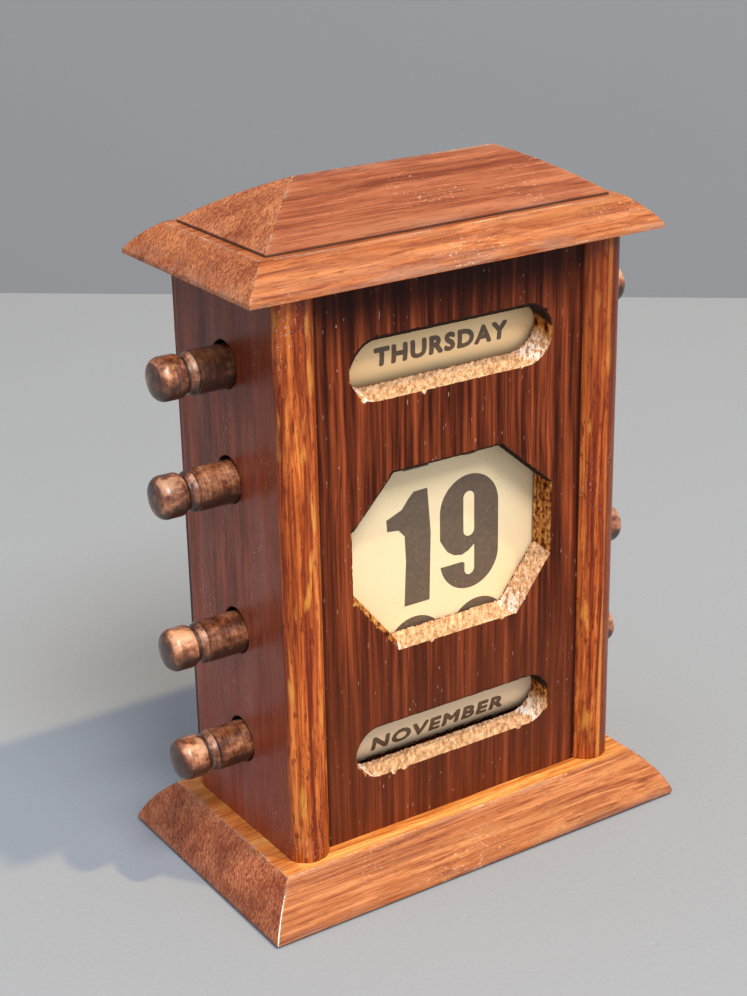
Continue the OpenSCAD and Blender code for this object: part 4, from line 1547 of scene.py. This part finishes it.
def printed_drum(name, words, shown, node, body, cap, pitch, middle, drop):
    """All words of a drum, printed round it, with the shown one at the window."""
    low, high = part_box(node)
    axis_z = (low.z + high.z) / 2
    radius = (high.z - low.z) / 2 - 0.04 * MM
    boldness = bpy.context.scene.calendar.print.boldness
    build = bmesh.new()
    slices = [cap * (i / 12 - 0.5) for i in range(1, 12)]
    for number, word in enumerate(words):
        start = drop - (number - shown) * math.tau / len(words)

        def wrap(x, height, depth):
            turn = start + height / radius
            out = radius + depth
            return (x, -out * math.cos(turn), axis_z + out * math.sin(turn))

        points, faces = flat_word(word, pitch * len(word), cap, middle, boldness)
        inked(build, points, faces, slices, wrap)
    piece = object_from(name, build)
    return settle(piece, "Faded ink", body, "printed_paper", smooth=False)


def stadium(left, right, low, high):
    """Rounded outline between the given limits, counter-clockwise."""
    radius = min(right - left, high - low) / 2
    points = []
    for number, (x, z) in enumerate(((right, low), (right, high), (left, high), (left, low))):
        mid_x = x - math.copysign(radius, x - (left + right) / 2)
        mid_z = z - math.copysign(radius, z - (low + high) / 2)
        for i in range(13):
            turn = math.pi / 2 * (number - 1 + i / 12)
            points.append((mid_x + radius * math.cos(turn), mid_z + radius * math.sin(turn)))
    return points


def numeral_shapes():
    """Bold numerals in the numeral field: {numeral: (solid outlines, cut outlines)}, in mm."""
    width, height = NUMERAL_FIELD
    field = stadium(0, width, 0, height)
    one = [(4.8, 0), (12.1, 0), (12.6, 17.5), (11.7, 29), (7.8, 28.9), (6.4, 27.6), (4.4, 25.1),
           (0, 23.4), (0.2, 20.5), (3.4, 20.1), (5.1, 18.2), (5.4, 11.7)]
    nine_cut = [(-1, 7.3), (6.6, 7.3), (7.2, 6.8), (7.2, 4.6), (7.8, 3.7), (8.7, 3.5), (9.6, 3.9),
                (10.1, 4.8), (10.1, 11.2), (8.4, 9.9), (6.4, 9.2), (4.2, 9.6), (2.2, 10.9), (0.9, 12.8),
                (0, 14.4), (-1, 14.4)]
    pinch = [[(-1, 13.6), (0.9, 14.8), (-1, 16)],
             [(width + 1, 13.6), (width + 1, 16), (width - 0.9, 14.8)]]
    two = [(0, 0), (width, 0), (width, 5.8), (9.6, 5.8), (16.2, 14.2), (width, 18.5), (width, 21)]
    bend = width / 2
    for i in range(1, 21):
        turn = math.pi * i / 20
        two.append((bend + bend * math.cos(turn), 20.95 + bend * math.sin(turn)))
    two += [(0, 19.2), (6.9, 19.2), (6.9, 23.9), (7.4, 25.2), (bend, 25.8), (9.9, 25.2), (10.4, 23.9),
            (10.4, 18.4), (9.5, 15.6), (0, 4.6)]
    return {
        "0": ([field], [stadium(6.9, 10.4, 4, 25.6)]),
        "1": ([one], []),
        "2": ([two], []),
        "8": ([field], [stadium(6.9, 10.4, 3.9, 13.1), stadium(6.9, 10.4, 16.4, 25.7), *pinch]),
        "9": ([field], [stadium(6.9, 10.1, 13.7, 25.3), nine_cut]),
    }


def printed_dates(name, rows):
    """The numerals on the flat run of the date paper: rows of (text, left edges, foot)."""
    shapes = numeral_shapes()
    scale = bpy.context.scene.calendar.print.digit_height / NUMERAL_FIELD[1]
    slices = [STRIP_LOW.z + 3 * MM * i for i in range(1, 21)]
    build = bmesh.new()

    def lift(x, z, depth):
        return (x, STRIP_LOW.y - min(0.0, paper_relief(x, z)) + 0.02 * MM - depth, z)

    for text, lefts, foot in rows:
        for digit, left in zip(text, lefts):
            points, faces = flat_fill(*shapes[digit])
            placed = [(left + point.x * scale, foot + point.y * scale) for point in points]
            inked(build, placed, faces, slices, lift)
    for level, side in ((STRIP_LOW.z, -1), (STRIP_HIGH.z, 1)):
        geometry = [*build.verts, *build.edges, *build.faces]
        cut = bmesh.ops.bisect_plane(build, geom=geometry, plane_co=(0, 0, level), plane_no=(0, 0, side),
                                     clear_outer=True, dist=1e-8)
        rim = [item for item in cut["geom_cut"] if isinstance(item, bmesh.types.BMEdge)]
        bmesh.ops.holes_fill(build, edges=rim)
    return settle(object_from(name, build), "Faded ink", "date_paper", "printed_paper", smooth=False)


# ---------------------------------------------------------------- stage


def speckled(name, tint, strength, see_through):
    """Fine-grained matt paper backdrop. With see_through its back faces vanish."""
    material, tree, shader = new_material(name)
    vector = along_grain(tree)
    grain = cloud(vector, 0.9, detail=3.0, roughness=0.7)
    broad = cloud(vector, 0.008, (3, 3, 3))
    dots = cloud(vector, 0.75, (7, 2, 5), detail=1.0, contrast=0.3)
    level = grain * strength + broad * 0.04
    colour = coats(blend(level, tinted(tint, 1.03), tinted(tint, 0.6)),
                   (dots.spread(0.9, 1.0, 0.0, 2.5 * strength), tinted(tint, 0.45)),
                   (dots.spread(0.07, 0.0, 0.0, 2.5 * strength), tinted(tint, 1.7)))
    plug(shader, Base_Color=colour, Roughness=0.9)
    if see_through:
        clear = wired(tree, "ShaderNodeBsdfTransparent")
        behind = wired(tree, "ShaderNodeNewGeometry", output="Backfacing")
        either = wired(tree, "ShaderNodeMixShader", {0: behind, 1: Wire(tree, shader.outputs[0]), 2: clear})
        feed(tree.nodes["Material Output"].inputs[0], either)
    return material


def backdrop(name, corners, material):
    """Flat four-cornered sheet of the stage, facing the side from which its corners run round."""
    build = bmesh.new()
    build.faces.new([build.verts.new(corner) for corner in corners])
    mesh = bpy.data.meshes.new(name)
    build.to_mesh(mesh)
    build.free()
    mesh.materials.append(material)
    linked(name, mesh)


def soft_lamp(name, place, aim, size, power, colour=(1, 1, 1)):
    """Square area light at a place, turned towards a point."""
    lamp = bpy.data.lights.new(name, "AREA")
    lamp.shape = "SQUARE"
    lamp.size = size
    lamp.energy = power
    lamp.color = colour
    made = linked(name, lamp)
    made.rotation_euler = (aim - place).to_track_quat("-Z", "Y").to_euler()
    made.location = place


# ---------------------------------------------------------------- operators


class CALENDAR_OT_moulded_boards(bpy.types.Operator):
    """Make the base board, the cornice board and the hipped cap"""
    bl_idname = "calendar.moulded_boards"
    bl_label = "Moulded boards"

    def execute(self, context):
        shape = context.scene.calendar.shape
        base = moulded_board(
            "base_moulding", BASE_LOW, BASE_HIGH, run_x=shape.base_bevel, run_y=shape.base_bevel,
            lip=0.6 * MM, bulge=0.9 * MM, seed=3.0, chips=0.5 * MM, mitre_wear=1.2, worn_band=0.9 * MM)
        settle(base, "Base oak", "housing", "stained_oak", "base_board")
        cornice = moulded_board(
            "cornice_moulding", CORNICE_LOW, CORNICE_HIGH, run_x=shape.cornice_bevel,
            run_y=shape.cornice_bevel, lip=0.9 * MM, bulge=0.5 * MM, seed=8.0, chips=0.6 * MM,
            mitre_wear=0.5, worn_band=2.4 * MM)
        settle(cornice, "Cornice oak", "housing", "stained_oak", "cornice_board")
        size = CAP_HIGH - CAP_LOW
        cap = moulded_board(
            "cap_roof", CAP_LOW, CAP_HIGH, run_x=(size.x - shape.cap_ridge) / 2, run_y=size.y / 2,
            lip=0.7 * MM, bulge=0.7 * MM, seed=12.0, chips=0.6 * MM, mitre_wear=0.35,
            worn_band=0.8 * MM, seam=0.4 * MM)
        settle(cap, "Cap oak", "housing", "stained_oak", "hipped_cap")
        return {"FINISHED"}


class CALENDAR_OT_side_boards(bpy.types.Operator):
    """Make the two side boards with their noses and knob holes"""
    bl_idname = "calendar.side_boards"
    bl_label = "Side boards"

    def execute(self, context):
        day, upper, lower, month = (PIVOTS[name].z for name in (
            "weekday_turn", "date_upper_turn", "date_turn", "month_turn"))
        side_board("left_side", -1, (day, upper, lower, month), "side_board_left")
        side_board("right_side", 1, (day, lower, month), "side_board_right")
        return {"FINISHED"}


class CALENDAR_OT_front_panel(bpy.types.Operator):
    """Make the front panel with its sawn windows and torn fibres"""
    bl_idname = "calendar.front_panel"
    bl_label = "Front panel"

    def execute(self, context):
        sawn_panel("windowed_panel")
        torn_sills("torn_sill_fibres")
        return {"FINISHED"}


class CALENDAR_OT_back_panel(bpy.types.Operator):
    """Make the screwed back panel"""
    bl_idname = "calendar.back_panel"
    bl_label = "Back panel"

    def execute(self, context):
        eased_back("rear_board")
        return {"FINISHED"}


class CALENDAR_OT_baize(bpy.types.Operator):
    """Make the baize under the base"""
    bl_idname = "calendar.baize"
    bl_label = "Baize"

    def execute(self, context):
        cut_baize("baize_sheet")
        return {"FINISHED"}


class CALENDAR_OT_knobs(bpy.types.Operator):
    """Make the seven turned knobs"""
    bl_idname = "calendar.knobs"
    bl_label = "Knobs"

    def execute(self, context):
        tree = knob_tree()
        places = (("day", "weekday_turn", "weekday_drum", ("left", "right")),
                  ("date_upper", "date_upper_turn", "upper_date_roller", ("",)),
                  ("date_lower", "date_turn", "lower_date_roller", ("left", "right")),
                  ("month", "month_turn", "months_drum", ("left", "right")))
        for start, joint, body, sides in places:
            for side in sides:
                ending = f"knob_{side}" if side else "knob"
                direction = 1 if side == "right" else -1
                turned_knob(f"{start}_turned_{ending}", tree, direction, PIVOTS[joint].z, body,
                            f"{start}_{ending}")
        return {"FINISHED"}


class CALENDAR_OT_rollers(bpy.types.Operator):
    """Finish the drums, rollers, pivot and screws"""
    bl_idname = "calendar.rollers"
    bl_label = "Rollers and screws"

    def execute(self, context):
        groups = (("Turned wood", ("day_drum", "month_drum", "date_upper_roller", "date_lower_roller",
                                   "date_upper_pivot")),
                  ("Old brass", ("base_screws", "cornice_screws", "back_screws")))
        for material, nodes in groups:
            for node in nodes:
                for place in frame["nodes"][node].material_slots:
                    place.material = finish(material)
        return {"FINISHED"}


class CALENDAR_OT_papers(bpy.types.Operator):
    """Make the drum labels, the wound date paper and its flat run"""
    bl_idname = "calendar.papers"
    bl_label = "Papers"

    def execute(self, context):
        label, linen, roller = 0.3 * MM, 0.25 * MM, 12.4 * MM
        paper_coil("weekday_label_paper", "Weekday paper", "day_label", "weekday_drum",
                   turns=1, sheet=label, core=13.4 * MM)
        paper_coil("month_label_paper", "Month paper", "month_label", "months_drum",
                   turns=1, sheet=label, core=14.0 * MM)
        paper_coil("upper_wound_paper", "Aged paper", "date_upper_roll", "upper_date_roller",
                   turns=2.4, sheet=linen, core=roller)
        paper_coil("lower_wound_paper", "Aged paper", "date_lower_roll", "lower_date_roller",
                   turns=1.9, sheet=linen, core=roller)
        flat_strip("date_paper_run")
        return {"FINISHED"}


class CALENDAR_OT_lettering(bpy.types.Operator):
    """Print the weekdays, the dates and the months"""
    bl_idname = "calendar.lettering"
    bl_label = "Lettering"

    def execute(self, context):
        chosen = context.scene.calendar.print
        printed_drum("weekday_print", WEEKDAYS, chosen.weekday, "day_label", "weekday_drum",
                     chosen.weekday_cap, pitch=4.7 * MM, middle=2.2 * MM, drop=math.radians(-3.3))
        printed_drum("month_print", MONTHS, chosen.month, "month_label", "months_drum",
                     chosen.month_cap, pitch=5.0 * MM, middle=0.8 * MM, drop=math.radians(-18.4))
        foot, above, below = chosen.digit_foot, 34.6 * MM, 32.9 * MM
        teens, twenty = (-14.1 * MM, 1.2 * MM), (-15.0 * MM, 3.7 * MM)
        printed_dates("date_print", (
            ("18", teens, foot + above), ("19", teens, foot), ("20", twenty, foot - below)))
        return {"FINISHED"}


class CALENDAR_OT_stage(bpy.types.Operator):
    """Set the pale floor, the wall, the lights and the camera"""
    bl_idname = "calendar.stage"
    bl_label = "Stage"

    def execute(self, context):
        stage = context.scene.calendar.stage
        reach = 3.0
        floor = ((-reach, -reach, 0), (reach, -reach, 0), (reach, reach, 0), (-reach, reach, 0))
        backdrop("floor", floor, speckled("Floor paper", stage.floor, strength=0.16, see_through=False))
        normal, distance = Vector((0.624, 0.7814, 0)), 0.47
        foot = normal * distance
        along = Vector((normal.y, -normal.x, 0)) * reach
        up = Vector((0, 0, reach))
        wall = (foot - along, foot + along, foot + along + up, foot - along + up)
        backdrop("wall", wall, speckled("Wall paper", stage.wall, strength=0.06, see_through=True))
        aim = Vector((0, 0, 0.08))
        towards_key = Vector((0.25, -0.4, 1)).normalized()
        towards_front = Vector((-0.16, -1, 1.25)).normalized()
        soft_lamp("key", aim + towards_key * 5, aim, size=0.16, power=stage.key, colour=stage.key_tint)
        soft_lamp("front", aim + towards_front * 2.5, aim, size=0.85, power=stage.front)
        world = bpy.data.worlds.new("Room")
        context.scene.world = world
        world.use_nodes = True
        light = world.node_tree.nodes["Background"]
        plug(light, Color=(*stage.sky_tint, 1), Strength=stage.sky)
        self.camera(context)
        context.scene.view_settings.view_transform = "Standard"
        return {"FINISHED"}

    def camera(self, context):
        lens = bpy.data.cameras.new("view")
        picture_height, focal_pixels = 996, 1959
        lens.lens = focal_pixels * lens.sensor_width / picture_height
        made = linked("view", lens)
        heading, tilt, roll = math.radians(-33.18), math.radians(22.09), math.radians(-1.14)
        place = Matrix.Translation((-0.24679, -0.36448, 0.26502))
        aimed = Matrix.Rotation(heading, 4, "Z") @ Matrix.Rotation(math.pi / 2 - tilt, 4, "X")
        made.matrix_world = place @ (aimed @ Matrix.Rotation(roll, 4, "Z"))
        context.scene.camera = made


class CALENDAR_PT_sidebar(bpy.types.Panel):
    bl_label = "Perpetual Desk Calendar"
    bl_idname = "CALENDAR_PT_sidebar"
    bl_space_type = "VIEW_3D"
    bl_region_type = "UI"
    bl_category = "Calendar"

    def draw(self, context):
        settings = context.scene.calendar
        for group in (settings.shape, settings.colours, settings.print, settings.stage):
            box = self.layout.box()
            for key in group.bl_rna.properties.keys():
                if key not in {"rna_type", "name"}:
                    box.prop(group, key)
        for operator in OPERATORS:
            self.layout.operator(operator.bl_idname)


SETTINGS = (CalendarShape, CalendarColours, CalendarPrint, CalendarStage, CalendarSettings)
OPERATORS = (CALENDAR_OT_moulded_boards, CALENDAR_OT_side_boards, CALENDAR_OT_front_panel,
             CALENDAR_OT_back_panel, CALENDAR_OT_baize, CALENDAR_OT_knobs, CALENDAR_OT_rollers,
             CALENDAR_OT_papers, CALENDAR_OT_lettering, CALENDAR_OT_stage)
CLASSES = (*SETTINGS, *OPERATORS, CALENDAR_PT_sidebar)


def register():
    for item in CLASSES:
        bpy.utils.register_class(item)
    bpy.types.Scene.calendar = bpy.props.PointerProperty(type=CalendarSettings)


def unregister():
    del bpy.types.Scene.calendar
    for item in reversed(CLASSES):
        bpy.utils.unregister_class(item)


def main():
    register()
    for operator in OPERATORS:
        group, name = operator.bl_idname.split(".")
        getattr(getattr(bpy.ops, group), name)()


if __name__ == "__main__":
    main()
